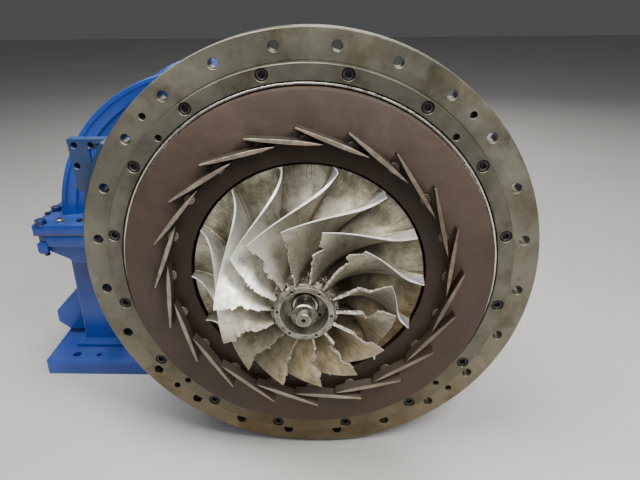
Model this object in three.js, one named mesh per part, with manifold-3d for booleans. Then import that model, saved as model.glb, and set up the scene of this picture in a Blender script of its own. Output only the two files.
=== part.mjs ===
// Opened head of a geared turbo blower: impeller, variable diffuser and gear casing.
// Millimetres, +Z up. The impeller faces -Y and its axis runs along Y.
import * as THREE from 'three';
import { mergeVertices } from 'three/addons/utils/BufferGeometryUtils.js';
import Module from 'manifold-3d';

const wasm = await Module();
wasm.setup();

// Where the rotor axis meets the face of the clamp ring, in the part's frame
const AXIS_X = 168;
const AXIS_Y = -339;
const AXIS_Z = 520;

// Bolting ring and diffuser, depths measured from the clamp ring's face
const FLANGE_OUTER = 514;
const FLANGE_INNER = 380;
const FLANGE_FRONT = 30;
const CLAMP_SEAT = 32;
const FLANGE_BACK = 75;
const FLANGE_HOLE_PITCH = 481;
const FLANGE_HOLE = 11;
const FLANGE_HOLES = 24;
const CLAMP_OUTER = 450;
const CLAMP_INNER = 416;
const SCREW_PITCH = 435;
const SCREWS = 16;
const LIP_OUTER = 412.8;
const LIP_INNER = 409;
const PLATE_OUTER = 405;
const PLATE_BORE = 257;
const PLATE_FRONT = -22;
const PLATE_BACK = 18;
const DOWEL_PITCHES = [427.5, 481];

// Vanes
const VANES = 20;
const PIVOT_PITCH = 303;
const VANE_TIP = -50;
const VANE_FOOT_GAP = 1;
const VANE_INBOARD = 35;
const VANE_OUTBOARD = 121;
const VANE_HALF_THICKNESS = 4.6;
const VANE_SETTING = 4.4;
const PIVOT_DISC = 12;
const SPINDLE = 6.5;

// Impeller
const BLADES = 14;
const BLADE_PHASE = 15;
const TIP_RADIUS = 251.5;
const RIM_FRONT = -20;
const RIM_BACK = -10;
const TIP_FRONT = -51;
const EYE_RADIUS = 178;
const EYE_FRONT = -183;
const HUB_RADIUS = 66;
const HUB_FRONT = -168;
const NOSE_RADIUS = 59;
const NOSE_FRONT = -185;
const WRAP = 51.4;
const BORE = 25.3;
const FOOT_GAP = 0.3;

// Rotor shaft
const SHAFT = 25;
const SHAFT_FRONT = -210;
const JOURNAL = 34;
const JOURNAL_HOLE = 39;
const INPUT_SHAFT = 45;
const BEARING_BORE = 105;
const BEARING_COVER = 140;

// Gear casing
const SPLIT_Z = -44;
const GEAR_X = -288;
const DRUM_RADIUS = 433;
const DRUM_FRONT = 366;
const CASING_BACK = 752;
const SPLIT_LEFT = -773;
const SPLIT_RIGHT = 240;
const SPLIT_FRONT = 288;
const SPLIT_BACK = 752;
const SPLIT_THICKNESS = 32;
const PEDESTAL_FRONT = 418;
const PEDESTAL_LEFT = -750;
const PEDESTAL_RIGHT = 220;
const BASE_LEFT = -825;
const BASE_RIGHT = 480;
const BASE_BACK = 800;
const BASE_THICKNESS = 50;
const NECK = 195;

const group = new THREE.Group();
group.name = 'blower_head';

const colours = {
  machined: 0x7d776a,
  primer: 0x57493f,
  vane: 0x8b8072,
  impeller: 0xb3ab9c,
  shaft: 0xa7a49c,
  blue: 0x2c55a8,
  dark: 0x2b2b2b,
};

function place(name, geometry, colour) {
  geometry.translate(AXIS_X, AXIS_Y, AXIS_Z);
  const material = new THREE.MeshStandardMaterial({ color: colours[colour], roughness: 0.5 });
  material.name = colour;
  const mesh = new THREE.Mesh(geometry, material);
  mesh.name = name;
  group.add(mesh);
}

function solid(geometry) {
  const bare = geometry.clone();
  bare.deleteAttribute('normal');
  bare.deleteAttribute('uv');
  const merged = mergeVertices(bare, 1e-4);
  const vertProperties = new Float32Array(merged.attributes.position.array);
  const triVerts = new Uint32Array(merged.index.array);
  return new wasm.Manifold(new wasm.Mesh({ numProp: 3, vertProperties, triVerts }));
}

function surface(body) {
  const mesh = body.getMesh();
  const geometry = new THREE.BufferGeometry();
  geometry.setAttribute('position', new THREE.BufferAttribute(new Float32Array(mesh.vertProperties), 3));
  geometry.setIndex(new THREE.BufferAttribute(new Uint32Array(mesh.triVerts), 1));
  geometry.computeVertexNormals();
  return geometry;
}

// Profile points are [radius, depth], front edge first, outwards, then back inwards
function turned(profile, segments) {
  const points = profile.map(([r, y]) => new THREE.Vector2(r, y));
  points.push(points[0].clone());
  return new THREE.LatheGeometry(points, segments);
}

function rod(radius, front, back, x, z, segments = 16) {
  const geometry = new THREE.CylinderGeometry(radius, radius, back - front, segments);
  return geometry.translate(x, (front + back) / 2, z);
}

function block(x0, x1, y0, y1, z0, z1) {
  const geometry = new THREE.BoxGeometry(x1 - x0, y1 - y0, z1 - z0);
  return geometry.translate((x0 + x1) / 2, (y0 + y1) / 2, (z0 + z1) / 2);
}

// A flat outline of [x, z] points, pulled through from front to back
function slab(outline, front, back) {
  const shape = new THREE.Shape(outline.map(([x, z]) => new THREE.Vector2(x, z)));
  const geometry = new THREE.ExtrudeGeometry(shape, { depth: back - front, bevelEnabled: false });
  geometry.rotateX(Math.PI / 2);
  return geometry.translate(0, back, 0);
}

// Clockwise from the top, as seen from the front
function around(radius, degrees) {
  const angle = THREE.MathUtils.degToRad(degrees);
  return [radius * Math.sin(angle), radius * Math.cos(angle)];
}

function drill(body, radius, front, back, pitch, degrees, segments = 10) {
  const [x, z] = around(pitch, degrees);
  return body.subtract(solid(rod(radius, front, back, x, z, segments)));
}

// Bolting ring
let flange = solid(turned([
  [FLANGE_INNER, CLAMP_SEAT],
  [CLAMP_OUTER + 1, CLAMP_SEAT],
  [CLAMP_OUTER + 1, FLANGE_FRONT],
  [FLANGE_OUTER - 1.5, FLANGE_FRONT],
  [FLANGE_OUTER, FLANGE_FRONT + 1.5],
  [FLANGE_OUTER, FLANGE_BACK],
  [FLANGE_INNER, FLANGE_BACK],
], 72));
for (let i = 0; i < FLANGE_HOLES; i++) {
  const angle = (i + 0.5) * 360 / FLANGE_HOLES;
  flange = drill(flange, FLANGE_HOLE, FLANGE_FRONT - 5, FLANGE_BACK + 5, FLANGE_HOLE_PITCH, angle);
}
for (const angle of [45, 135, 225, 315]) {
  flange = drill(flange, 7.5, FLANGE_FRONT - 5, FLANGE_FRONT + 30, DOWEL_PITCHES[1], angle, 8);
}
place('flange_ring', surface(flange), 'machined');

// Clamp ring with counterbored screw holes
let clamp = solid(turned([
  [CLAMP_INNER, 0],
  [CLAMP_OUTER - 1.5, 0],
  [CLAMP_OUTER, 1.5],
  [CLAMP_OUTER, CLAMP_SEAT],
  [CLAMP_INNER, CLAMP_SEAT],
], 72));
for (let i = 0; i < SCREWS; i++) {
  const angle = (i + 0.5) * 360 / SCREWS;
  clamp = drill(clamp, 13, -5, 18, SCREW_PITCH, angle);
}
for (const angle of [45, 135, 225, 315]) {
  clamp = drill(clamp, 7, -5, 24, DOWEL_PITCHES[0], angle, 8);
}
place('clamp_ring', surface(clamp), 'machined');

// Seat of the diffuser plate, with the thin bright lip around it
place('lip_ring', turned([
  [LIP_INNER, -1],
  [LIP_OUTER, -1],
  [LIP_OUTER, CLAMP_SEAT],
  [385, CLAMP_SEAT],
  [385, PLATE_BACK],
  [LIP_INNER, PLATE_BACK],
], 60), 'machined');

// Diffuser plate with a stepped hole for every vane
let plate = solid(turned([
  [PLATE_BORE, PLATE_FRONT],
  [PLATE_OUTER - 4, PLATE_FRONT],
  [PLATE_OUTER, PLATE_FRONT + 4],
  [PLATE_OUTER, PLATE_BACK],
  [PLATE_BORE, PLATE_BACK],
], 60));
for (let i = 0; i < VANES; i++) {
  const angle = i * 360 / VANES;
  plate = drill(plate, PIVOT_DISC + 0.8, PLATE_FRONT - 5, PLATE_FRONT + 6, PIVOT_PITCH, angle, 12);
  plate = drill(plate, SPINDLE + 1.7, PLATE_FRONT, PLATE_BACK + 5, PIVOT_PITCH, angle, 6);
}
place('diffuser_plate', surface(plate), 'primer');

// One vane, drawn with its pivot at the top of the circle
const vaneOutline = [];
const vaneStations = [[-1, 1.6], [-0.68, 3.6], [-0.3, VANE_HALF_THICKNESS], [0.25, 3.6], [1, 0.5]];
for (const [s, half] of vaneStations) {
  vaneOutline.push([s < 0 ? s * VANE_OUTBOARD : s * VANE_INBOARD, -half]);
}
for (const [s, half] of vaneStations.slice().reverse()) {
  vaneOutline.push([s < 0 ? s * VANE_OUTBOARD : s * VANE_INBOARD, half]);
}
const vaneBlade = slab(vaneOutline, VANE_TIP, PLATE_FRONT - VANE_FOOT_GAP);
vaneBlade.rotateY(THREE.MathUtils.degToRad(VANE_SETTING));
const vaneBody = solid(vaneBlade)
  .add(solid(rod(PIVOT_DISC, PLATE_FRONT - 2, PLATE_FRONT + 5, 0, 0, 14)))
  .add(solid(rod(SPINDLE, PLATE_FRONT + 4, PLATE_BACK + 12, 0, 0, 6)));
for (let i = 0; i < VANES; i++) {
  const geometry = surface(vaneBody).translate(0, 0, PIVOT_PITCH);
  geometry.rotateY(i * 2 * Math.PI / VANES);
  place(`vane_${String(i + 1).padStart(2, '0')}`, geometry, 'vane');
}

// Back wall of the volute, with the seal boss behind the impeller
place('rear_wall', turned([
  [JOURNAL_HOLE, 47],
  [80, 47],
  [80, FLANGE_BACK],
  [430, FLANGE_BACK],
  [430, 100],
  [JOURNAL_HOLE, 100],
], 40), 'blue');

// Impeller: hub line, shroud line and blade angle, each from leading edge (0) to rim (1)
function hubPoint(u, off = 0) {
  const a = u * Math.PI / 2;
  const width = TIP_RADIUS - HUB_RADIUS;
  const depth = RIM_FRONT - HUB_FRONT;
  const length = Math.hypot(width * Math.sin(a), depth * Math.cos(a));
  const r = HUB_RADIUS + width * (1 - Math.cos(a)) + off * depth * Math.cos(a) / length;
  return [r, HUB_FRONT + depth * Math.sin(a) - off * width * Math.sin(a) / length];
}

function shroudPoint(u) {
  const a = u * Math.PI / 2;
  const r = EYE_RADIUS + (TIP_RADIUS - EYE_RADIUS) * (1 - Math.cos(a));
  return [r, EYE_FRONT + (TIP_FRONT - EYE_FRONT) * Math.sin(a)];
}

function bladePoint(u, v) {
  const [hr, hy] = hubPoint(u);
  const [sr, sy] = shroudPoint(u);
  const hubAngle = (WRAP - 1.5) * (1 - (1 - u) ** 1.6);
  const shroudAngle = WRAP * (1 - (1 - u) ** 1.9);
  const angle = THREE.MathUtils.degToRad(hubAngle + (shroudAngle - hubAngle) * v);
  const r = hr + (sr - hr) * v;
  return new THREE.Vector3(r * Math.sin(angle), hy + (sy - hy) * v, r * Math.cos(angle));
}

function bladeSolid() {
  const along = 10;
  const levels = [0, 0.5, 1];
  const leadingEdge = [-0.06, -0.05, 0];
  const footDepth = 9;
  const positions = [];
  const index = [];
  for (const side of [1, -1]) {
    for (let i = 0; i <= along; i++) {
      for (const [row, level] of levels.entries()) {
        const u = leadingEdge[row] + (1 - leadingEdge[row]) * i / along;
        const span = bladePoint(u, 1).distanceTo(bladePoint(u, 0));
        const v = level === 0 ? -footDepth / span : level;
        const here = bladePoint(u, v);
        const du = bladePoint(Math.min(u + 0.01, 1), v).sub(bladePoint(u - 0.01, v));
        const dv = bladePoint(u, v + 0.01).sub(bladePoint(u, v - 0.01));
        const normal = du.cross(dv).normalize();
        const half = 4.5 - 2 * Math.max(v, 0);
        positions.push(...here.addScaledVector(normal, side * half).toArray());
      }
    }
  }
  const rows = levels.length;
  const sheet = rows * (along + 1);
  const quad = (a, b, c, d) => index.push(a, b, c, a, c, d);
  for (let i = 0; i < along; i++) {
    for (let j = 0; j < rows - 1; j++) {
      const a = i * rows + j;
      quad(a, a + rows, a + rows + 1, a + 1);
      quad(sheet + a, sheet + a + 1, sheet + a + rows + 1, sheet + a + rows);
    }
    const low = i * rows;
    const high = low + rows - 1;
    quad(low, sheet + low, sheet + low + rows, low + rows);
    quad(high, high + rows, sheet + high + rows, sheet + high);
  }
  for (let j = 0; j < rows - 1; j++) {
    const end = along * rows + j;
    quad(j, j + 1, sheet + j + 1, sheet + j);
    quad(end, sheet + end, sheet + end + 1, end + 1);
  }
  const geometry = new THREE.BufferGeometry();
  geometry.setAttribute('position', new THREE.Float32BufferAttribute(positions, 3));
  geometry.setIndex(index);
  return solid(geometry);
}

// The blades are cut to the hub, so each one stands on it like a separate part
function hubBody(off) {
  const profile = [
    [BORE, -138],
    [29, -138],
    [29, -150],
    [44, -150],
    [47, NOSE_FRONT - off],
    [NOSE_RADIUS + off, NOSE_FRONT - off],
    [NOSE_RADIUS + 1 + off, HUB_FRONT - 3],
  ];
  for (let i = 0; i <= 10; i++) {
    profile.push(hubPoint(i / 10, off));
  }
  profile.push([TIP_RADIUS + off, RIM_BACK], [150, 6], [64, 20], [60, 40], [BORE, 40]);
  return solid(turned(profile, 56));
}

place('impeller_hub', surface(hubBody(0)), 'impeller');
const behindRim = solid(rod(TIP_RADIUS + 10, RIM_FRONT - FOOT_GAP, 60, 0, 0, 56));
const blade = bladeSolid();
for (let i = 0; i < BLADES; i++) {
  const seated = blade.rotate([0, BLADE_PHASE - WRAP + i * 360 / BLADES, 0])
    .subtract(hubBody(FOOT_GAP))
    .subtract(behindRim);
  place(`impeller_blade_${String(i + 1).padStart(2, '0')}`, surface(seated), 'impeller');
}

// Shaft: centre-drilled end, collar, seat of the impeller, journal and pinion
place('pinion_shaft', turned([
  [0, SHAFT_FRONT + 8],
  [3, SHAFT_FRONT + 4],
  [4.5, SHAFT_FRONT],
  [14.5, SHAFT_FRONT],
  [15.5, SHAFT_FRONT + 1],
  [15.5, SHAFT_FRONT + 12],
  [SHAFT - 1.5, SHAFT_FRONT + 12],
  [SHAFT, SHAFT_FRONT + 14],
  [SHAFT, 40],
  [JOURNAL, 40],
  [JOURNAL, 495],
  [46, 495],
  [46, 605],
  [JOURNAL, 605],
  [JOURNAL, 748],
  [0, 748],
], 24), 'shaft');

// Neck between the volute's back wall and the gear casing
place('casing_neck', turned([
  [290, 100],
  [330, 100],
  [330, 124],
  [NECK, 250],
  [NECK, DRUM_FRONT],
  [170, DRUM_FRONT],
  [170, 236],
  [290, 122],
], 40), 'blue');

// Upper half of the gear casing
const gearRoom = solid(rod(396, DRUM_FRONT + 20, CASING_BACK - 20, GEAR_X, SPLIT_Z, 40));
const neckHole = solid(rod(NECK + 1, 200, DRUM_FRONT, 0, 0, 40));
const journalHole = solid(rod(JOURNAL_HOLE, 200, CASING_BACK + 50, 0, 0, 20));
const bearingHole = solid(rod(BEARING_BORE, CASING_BACK - 60, CASING_BACK + 60, GEAR_X, SPLIT_Z, 32));
const above = solid(block(-900, 600, 0, 1000, SPLIT_Z, 600));
const below = solid(block(-900, 600, 0, 1000, -600, SPLIT_Z));
const drum = turned([
  [0, DRUM_FRONT + 14],
  [392, DRUM_FRONT + 14],
  [396, DRUM_FRONT + 4],
  [418, DRUM_FRONT + 4],
  [422, DRUM_FRONT],
  [DRUM_RADIUS, DRUM_FRONT],
  [DRUM_RADIUS, DRUM_FRONT + 22],
  [420, DRUM_FRONT + 30],
  [420, CASING_BACK - 22],
  [DRUM_RADIUS, CASING_BACK - 14],
  [DRUM_RADIUS, CASING_BACK],
  [0, CASING_BACK],
], 72).translate(GEAR_X, 0, SPLIT_Z);
const upper = solid(drum)
  .add(solid(rod(NECK, DRUM_FRONT, CASING_BACK, 0, 0, 48)))
  .intersect(above)
  .add(solid(block(SPLIT_LEFT, SPLIT_RIGHT, SPLIT_FRONT, SPLIT_BACK, SPLIT_Z, SPLIT_Z + SPLIT_THICKNESS)))
  .subtract(gearRoom)
  .subtract(neckHole)
  .subtract(journalHole)
  .subtract(bearingHole);
place('upper_casing', surface(upper), 'blue');

// Lower half with the pedestal it stands on
const pedestal = solid(block(PEDESTAL_LEFT, PEDESTAL_RIGHT, PEDESTAL_FRONT, CASING_BACK, -470, SPLIT_Z - 10))
  .add(solid(block(PEDESTAL_LEFT - 18, PEDESTAL_RIGHT + 18, PEDESTAL_FRONT - 34, CASING_BACK + 18, -470, -457)));
const lowerFlangeBottom = SPLIT_Z - SPLIT_THICKNESS + 2;
const lower = pedestal
  .add(solid(block(SPLIT_LEFT, SPLIT_RIGHT, SPLIT_FRONT, SPLIT_BACK, lowerFlangeBottom, SPLIT_Z)))
  .add(solid(block(-771, -742, SPLIT_FRONT + 4, SPLIT_FRONT + 44, lowerFlangeBottom - 26, lowerFlangeBottom + 5)))
  .intersect(below)
  .subtract(solid(rod(330, PEDESTAL_FRONT + 24, CASING_BACK - 24, GEAR_X, SPLIT_Z, 40)))
  .subtract(neckHole)
  .subtract(bearingHole);
place('lower_casing', surface(lower), 'blue');

// Base plate with its two foundation holes at each end
let base = solid(block(BASE_LEFT, BASE_RIGHT, SPLIT_FRONT, BASE_BACK, -520, -520 + BASE_THICKNESS));
for (const [x, y, radius] of [[-749, 335, 12], [-676, 335, 8], [410, 335, 12], [-749, 775, 12], [410, 775, 12]]) {
  const hole = new THREE.CylinderGeometry(radius, radius, 80, 16).rotateX(Math.PI / 2).translate(x, y, -495);
  base = base.subtract(solid(hole));
}
place('base_plate', surface(base), 'blue');

// Oil pocket on the left side of the pedestal
place('oil_pocket', slab([
  [PEDESTAL_LEFT, -283],
  [-850, -384],
  [-850, -424],
  [-815, -452],
  [PEDESTAL_LEFT, -452],
], 460, 690), 'blue');

// Bracket for the vane drive, hugging the left of the bolting ring
const ribInner = 501;
const ribOuter = 541;
const rib = new THREE.Shape();
const ribSteps = 10;
for (let i = 0; i <= ribSteps; i++) {
  const [x, z] = around(ribOuter, 256 + i * 48 / ribSteps);
  if (i === 0) {
    rib.moveTo(x, z);
  } else {
    rib.lineTo(x, z);
  }
}
for (let i = ribSteps; i >= 0; i--) {
  rib.lineTo(...around(ribInner, 256 + i * 48 / ribSteps));
}
const ribGeometry = new THREE.ExtrudeGeometry(rib, { depth: 142 - FLANGE_BACK, bevelEnabled: false });
ribGeometry.rotateX(Math.PI / 2).translate(0, 142, 0);
let bracket = solid(ribGeometry)
  .add(solid(slab([[-556, 30], [-534, 30], [-534, 100], [-436, 274], [-556, 274]], 130, 142)))
  .add(solid(slab([[-556, 264], [-440, 264], [-434, 274], [-556, 274]], 130, 196)))
  .subtract(solid(slab([[-512, 243], [-484, 262], [-488, 236], [-506, 204]], 60, 150)));
for (const [x, z] of [[-544, 253], [-504, 253], [-545, 201]]) {
  bracket = bracket.subtract(solid(rod(7.5, 120, 150, x, z, 12)));
}
place('drive_bracket', surface(bracket), 'blue');

// Input shaft with the bull gear, and its cover at the back
place('input_shaft', turned([
  [0, 470],
  [INPUT_SHAFT, 470],
  [INPUT_SHAFT, 500],
  [238, 500],
  [238, 600],
  [INPUT_SHAFT, 600],
  [INPUT_SHAFT, 846],
  [40, 848],
  [40, 889],
  [0, 889],
], 32).translate(GEAR_X, 0, SPLIT_Z), 'shaft');
place('input_cover', turned([
  [INPUT_SHAFT + 0.5, CASING_BACK],
  [BEARING_COVER, CASING_BACK],
  [BEARING_COVER, CASING_BACK + 14],
  [INPUT_SHAFT + 0.5, CASING_BACK + 14],
], 32).translate(GEAR_X, 0, SPLIT_Z), 'blue');

// Cover over the far end of the pinion shaft
place('pinion_cover', turned([
  [0, CASING_BACK],
  [JOURNAL + 0.5, CASING_BACK],
  [JOURNAL + 0.5, CASING_BACK - 17],
  [JOURNAL_HOLE - 0.7, CASING_BACK - 17],
  [JOURNAL_HOLE - 0.7, CASING_BACK],
  [92, CASING_BACK],
  [92, CASING_BACK + 16],
  [70, CASING_BACK + 30],
  [0, CASING_BACK + 30],
], 32), 'blue');

export default group;
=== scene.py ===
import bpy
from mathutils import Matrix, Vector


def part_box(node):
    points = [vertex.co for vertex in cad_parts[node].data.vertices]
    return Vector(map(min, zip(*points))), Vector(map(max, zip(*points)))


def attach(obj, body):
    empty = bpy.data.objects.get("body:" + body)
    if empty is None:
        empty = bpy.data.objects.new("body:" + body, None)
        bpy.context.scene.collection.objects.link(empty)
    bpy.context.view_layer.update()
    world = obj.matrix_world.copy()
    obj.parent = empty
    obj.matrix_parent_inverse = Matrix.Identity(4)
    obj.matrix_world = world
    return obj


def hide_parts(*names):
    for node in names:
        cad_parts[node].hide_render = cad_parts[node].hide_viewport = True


bl_info = {
    "name": "Turbo blower head",
    "version": (1, 1, 0),
    "blender": (4, 5, 0),
    "location": "View3D > Sidebar > Blower",
    "description": "Dresses the packed frame of an opened turbo blower head with finished pieces",
    "category": "Object",
}

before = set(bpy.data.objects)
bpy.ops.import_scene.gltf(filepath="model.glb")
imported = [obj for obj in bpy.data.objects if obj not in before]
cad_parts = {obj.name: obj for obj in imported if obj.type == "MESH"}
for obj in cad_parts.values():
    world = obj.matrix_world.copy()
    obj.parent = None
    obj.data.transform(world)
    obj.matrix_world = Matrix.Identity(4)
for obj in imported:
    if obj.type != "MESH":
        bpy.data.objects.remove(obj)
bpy.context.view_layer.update()  # refreshes the imported parts

import functools
import math

import bmesh
import bpy
import numpy as np
from bpy.props import FloatProperty, FloatVectorProperty, IntProperty, PointerProperty
from mathutils import Matrix, Vector

# AXIS is where the rotor axis crosses the face of the clamp ring, in metres. The other sizes are in
# millimetres from there: x to the right, y away from the viewer, z up. Angles run clockwise from the top,
# seen from the front.
CLAMP_LOW, CLAMP_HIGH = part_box("clamp_ring")
AXIS = ((CLAMP_LOW[0] + CLAMP_HIGH[0]) / 2, CLAMP_LOW[1], (CLAMP_LOW[2] + CLAMP_HIGH[2]) / 2)
RING_LOW, RING_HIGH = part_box("flange_ring")
RING_RADIUS = (RING_HIGH[0] - RING_LOW[0]) / 2

# Bolting ring, clamp ring, lip and diffuser plate
FLANGE_FRONT, FLANGE_BACK = 30, 75
FLANGE_BORE = 380
FLANGE_HOLES, FLANGE_HOLE_RADIUS = 24, 11
FLANGE_TAPS, FLANGE_TAP_RADIUS = 4, 7.5
BOLT_CIRCLE = 481
CLAMP_INNER, CLAMP_OUTER = 416, 450
CLAMP_SEAT = 32
SCREWS, SCREW_CIRCLE = 16, 435
CLAMP_TAPS, CLAMP_TAP_CIRCLE = 4, 427.5
LIP_INNER, LIP_OUTER, LIP_BORE = 409, 412.8, 385
PLATE_BORE, PLATE_OUTER = 257, 405
PLATE_FRONT, PLATE_BACK = -22, 18

# Vanes, each on a disc and a spindle
VANES = 20
VANE_CIRCLE = 303
VANE_SET_DEGREES = 4.4
VANE_FRONT, VANE_FOOT = -50, -23
DISC_RADIUS, DISC_FRONT, DISC_BACK = 12, -24, -17
SPINDLE_RADIUS, SPINDLE_BACK = 6.5, 30

# Impeller: the hub line and the line of the blades' free edges are quarter ellipses from nose to rim. START
# and FRONT are the radius and depth of a line at the nose, REACH and LENGTH how far it runs out and back.
# A blade wraps around the axis by WRAP_DEGREES at its free edge, and by HUB_LAG_DEGREES less at the hub.
# CHORD is its length from nose to rim.
BLADES = 14
WRAP_DEGREES = 51.4
HUB_LAG_DEGREES = 1.5
HUB_SWEEP = 1.6
FIRST_TIP_DEGREES = 15.0
HUB_START, HUB_REACH = 66, 185.5
HUB_FRONT, HUB_LENGTH = -168, 152
EDGE_START, EDGE_REACH = 178, 73.5
EDGE_FRONT, EDGE_LENGTH = -183, 136
RIM_RADIUS = 251.5
CHORD = 276
NOSE_FRONT, NOSE_RADIUS = -185, 59
CUP_FLOOR, CUP_RADIUS = -150, 48
CRUMBS = 260

# Gear casing: the drum's axis, the height of the split and the casing's length
GEAR = (-288, -44)
SPLIT = -44
SPLIT_THICKNESS = 32
DRUM_RADIUS = 433
CASING_FRONT, CASING_BACK = 366, 752
CASING_LEFT, CASING_RIGHT = -773, 240
SPLIT_TOP = SPLIT + SPLIT_THICKNESS

# Base plate, and the backs of the volute wall and of the neck's flange
FLOOR = -520
BASE_TOP = -470
WALL_BACK = 100
NECK_FLANGE_BACK = 124

# Meshes: points nearer than WELD count as one and bends shorter than SHORT_BEND go, both in metres
WELD = 2e-6
SHORT_BEND = 0.003
SHARP_DEGREES = 40
HOLE_STEPS = 32


# Shapes

def around(radius, degrees):
    """Point on a circle about the rotor axis."""
    angle = math.radians(degrees)
    return radius * math.sin(angle), radius * math.cos(angle)


def spin(points, degrees, lift=0.0):
    """Points raised along z and then turned clockwise about the rotor axis."""
    angle = math.radians(degrees)
    sine, cosine = math.sin(angle), math.cos(angle)
    return [(x * cosine + (z + lift) * sine, y, (z + lift) * cosine - x * sine) for x, y, z in points]


def metres(points):
    """Millimetres about the rotor axis to metres in the frame."""
    return np.asarray(points, float) / 1000 + np.array(AXIS)


def turned(profile, steps, centre=(0, 0)):
    """Mesh of a closed [radius, depth] profile turned about an axis along Y."""
    points, faces, rings = [], [], []
    for radius, depth in profile:
        start = len(points)
        if radius < 1e-6:
            points.append((centre[0], depth, centre[1]))
        else:
            for i in range(steps):
                x, z = around(radius, 360 * i / steps)
                points.append((centre[0] + x, depth, centre[1] + z))
        rings.append(range(start, len(points)))
    for a, b in zip(rings, rings[1:] + rings[:1]):
        if len(a) == 1 and len(b) == 1:
            continue
        for i in range(steps):
            j = i + 1
            corners = [a[i % len(a)], a[j % len(a)], b[j % len(b)], b[i % len(b)]]
            faces.append(list(dict.fromkeys(corners)))
    return points, faces


def slab(outline, front, back):
    """Mesh of a flat [x, z] outline between two depths."""
    count = len(outline)
    points = [(x, front, z) for x, z in outline] + [(x, back, z) for x, z in outline]
    faces = [list(range(count)), list(range(2 * count - 1, count - 1, -1))]
    faces += [[i, (i + 1) % count, count + (i + 1) % count, count + i] for i in range(count)]
    return points, faces


def level(outline, bottom, top):
    """Mesh of a flat [x, y] outline between two heights."""
    points, faces = slab(outline, bottom, top)
    return [(x, y, z) for x, z, y in points], faces


def block(x0, x1, y0, y1, z0, z1):
    """Mesh of a box between its limits."""
    return slab([(x0, z0), (x1, z0), (x1, z1), (x0, z1)], y0, y1)


def rod(radius, front, back, x=0, z=0, steps=48):
    """Mesh of a plain round bar along Y."""
    return turned([(0, front), (radius, front), (radius, back), (0, back)], steps, (x, z))


def drill(radius, front, back, pitch, degrees, chamfer):
    """Cutter for a chamfered through hole on a bolt circle."""
    wide = radius + chamfer + 1
    profile = [
        (0, front - 1), (wide, front - 1), (radius, front + chamfer),
        (radius, back - chamfer), (wide, back + 1), (0, back + 1),
    ]
    return turned(profile, HOLE_STEPS, around(pitch, degrees))


def blind(radius, front, back, x, z, chamfer=0.8, steps=HOLE_STEPS):
    """Cutter for a chamfered hole with a flat floor."""
    wide = radius + chamfer + 1
    profile = [(0, front - 1), (wide, front - 1), (radius, front + chamfer), (radius, back), (0, back)]
    return turned(profile, steps, (x, z))


def upright(shape, x, y, z):
    """A shape that faces -Y, turned to face up and stood at a point."""
    points, faces = shape
    return [(x + px, y + pz, z - py) for px, py, pz in points], faces


def facing_back(shape, depth):
    """A shape that faces -Y, turned about the vertical so that it faces +Y from a depth."""
    points, faces = shape
    return [(-px, depth - py, pz) for px, py, pz in points], faces


def merged(shapes):
    """Several shapes as one."""
    points, faces = [], []
    for shape in shapes:
        start = len(points)
        points += list(shape[0])
        faces += [[start + i for i in face] for face in shape[1]]
    return points, faces


def raw(name, shape, finishes=(), indices=None):
    """Object of a shape, with its faces turned outwards."""
    mesh = bpy.data.meshes.new(name)
    mesh.from_pydata([tuple(p) for p in metres(shape[0])], [], shape[1])
    work = bmesh.new()
    work.from_mesh(mesh)
    bmesh.ops.recalc_face_normals(work, faces=work.faces)
    work.to_mesh(mesh)
    work.free()
    for finish in finishes:
        mesh.materials.append(finish)
    if indices is not None:
        mesh.polygons.foreach_set("material_index", indices)
    piece = bpy.data.objects.new(name, mesh)
    bpy.context.scene.collection.objects.link(piece)
    return piece


def settle(piece):
    """Applies the modifiers of a piece to its mesh."""
    graph = bpy.context.evaluated_depsgraph_get()
    mesh = bpy.data.meshes.new_from_object(piece.evaluated_get(graph))
    old = piece.data
    piece.modifiers.clear()
    piece.data = mesh
    bpy.data.meshes.remove(old)
    mesh.name = piece.name
    return piece


def combined(piece, tool, how):
    """Joins, cuts or intersects a piece with a shape or another object, which is used up."""
    if not isinstance(tool, bpy.types.Object):
        tool = raw("tool", tool, list(piece.data.materials))
    change = piece.modifiers.new("combine", "BOOLEAN")
    change.operation = how
    change.solver = "MANIFOLD"
    change.object = tool
    before = len(piece.data.polygons)
    settle(piece)
    bpy.data.objects.remove(tool)
    if not piece.data.polygons:
        raise RuntimeError(f"{piece.name} was lost in a cut of {before} faces")
    return piece


def cut(piece, *tools):
    """Takes shapes away from a piece, one after another."""
    for tool in tools:
        combined(piece, tool, "DIFFERENCE")
    return piece


def add(piece, *tools):
    """Joins shapes or objects to a piece, one after another."""
    for tool in tools:
        combined(piece, tool, "UNION")
    return piece


def softened(piece, width, steps=2):
    """Rounds the sharp edges of a piece."""
    change = piece.modifiers.new("round", "BEVEL")
    change.width = width / 1000
    change.segments = steps
    change.limit_method = "ANGLE"
    change.angle_limit = math.radians(SHARP_DEGREES)
    change.use_clamp_overlap = True
    return settle(piece)


def rounded(shape, width, steps=2):
    """A painted casting part with rounded edges, ready to be joined to its piece."""
    return softened(raw("casting_part", shape, [enamel()]), width, steps)


def clean(piece):
    """Joins points that a cut left side by side, and takes out folded slivers and short bends of an edge."""
    work = bmesh.new()
    work.from_mesh(piece.data)
    bmesh.ops.remove_doubles(work, verts=work.verts, dist=WELD)
    found = {}
    for face in work.faces:
        found.setdefault(frozenset(face.verts), []).append(face)
    folded = [face for twins in found.values() if len(twins) > 1 for face in twins]
    bmesh.ops.delete(work, geom=folded, context="FACES")
    bends = [point for point in work.verts if len(point.link_edges) == 2]
    short = [point for point in bends if sum(edge.calc_length() for edge in point.link_edges) < SHORT_BEND]
    bmesh.ops.dissolve_verts(work, verts=short)
    work.to_mesh(piece.data)
    work.free()


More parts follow.
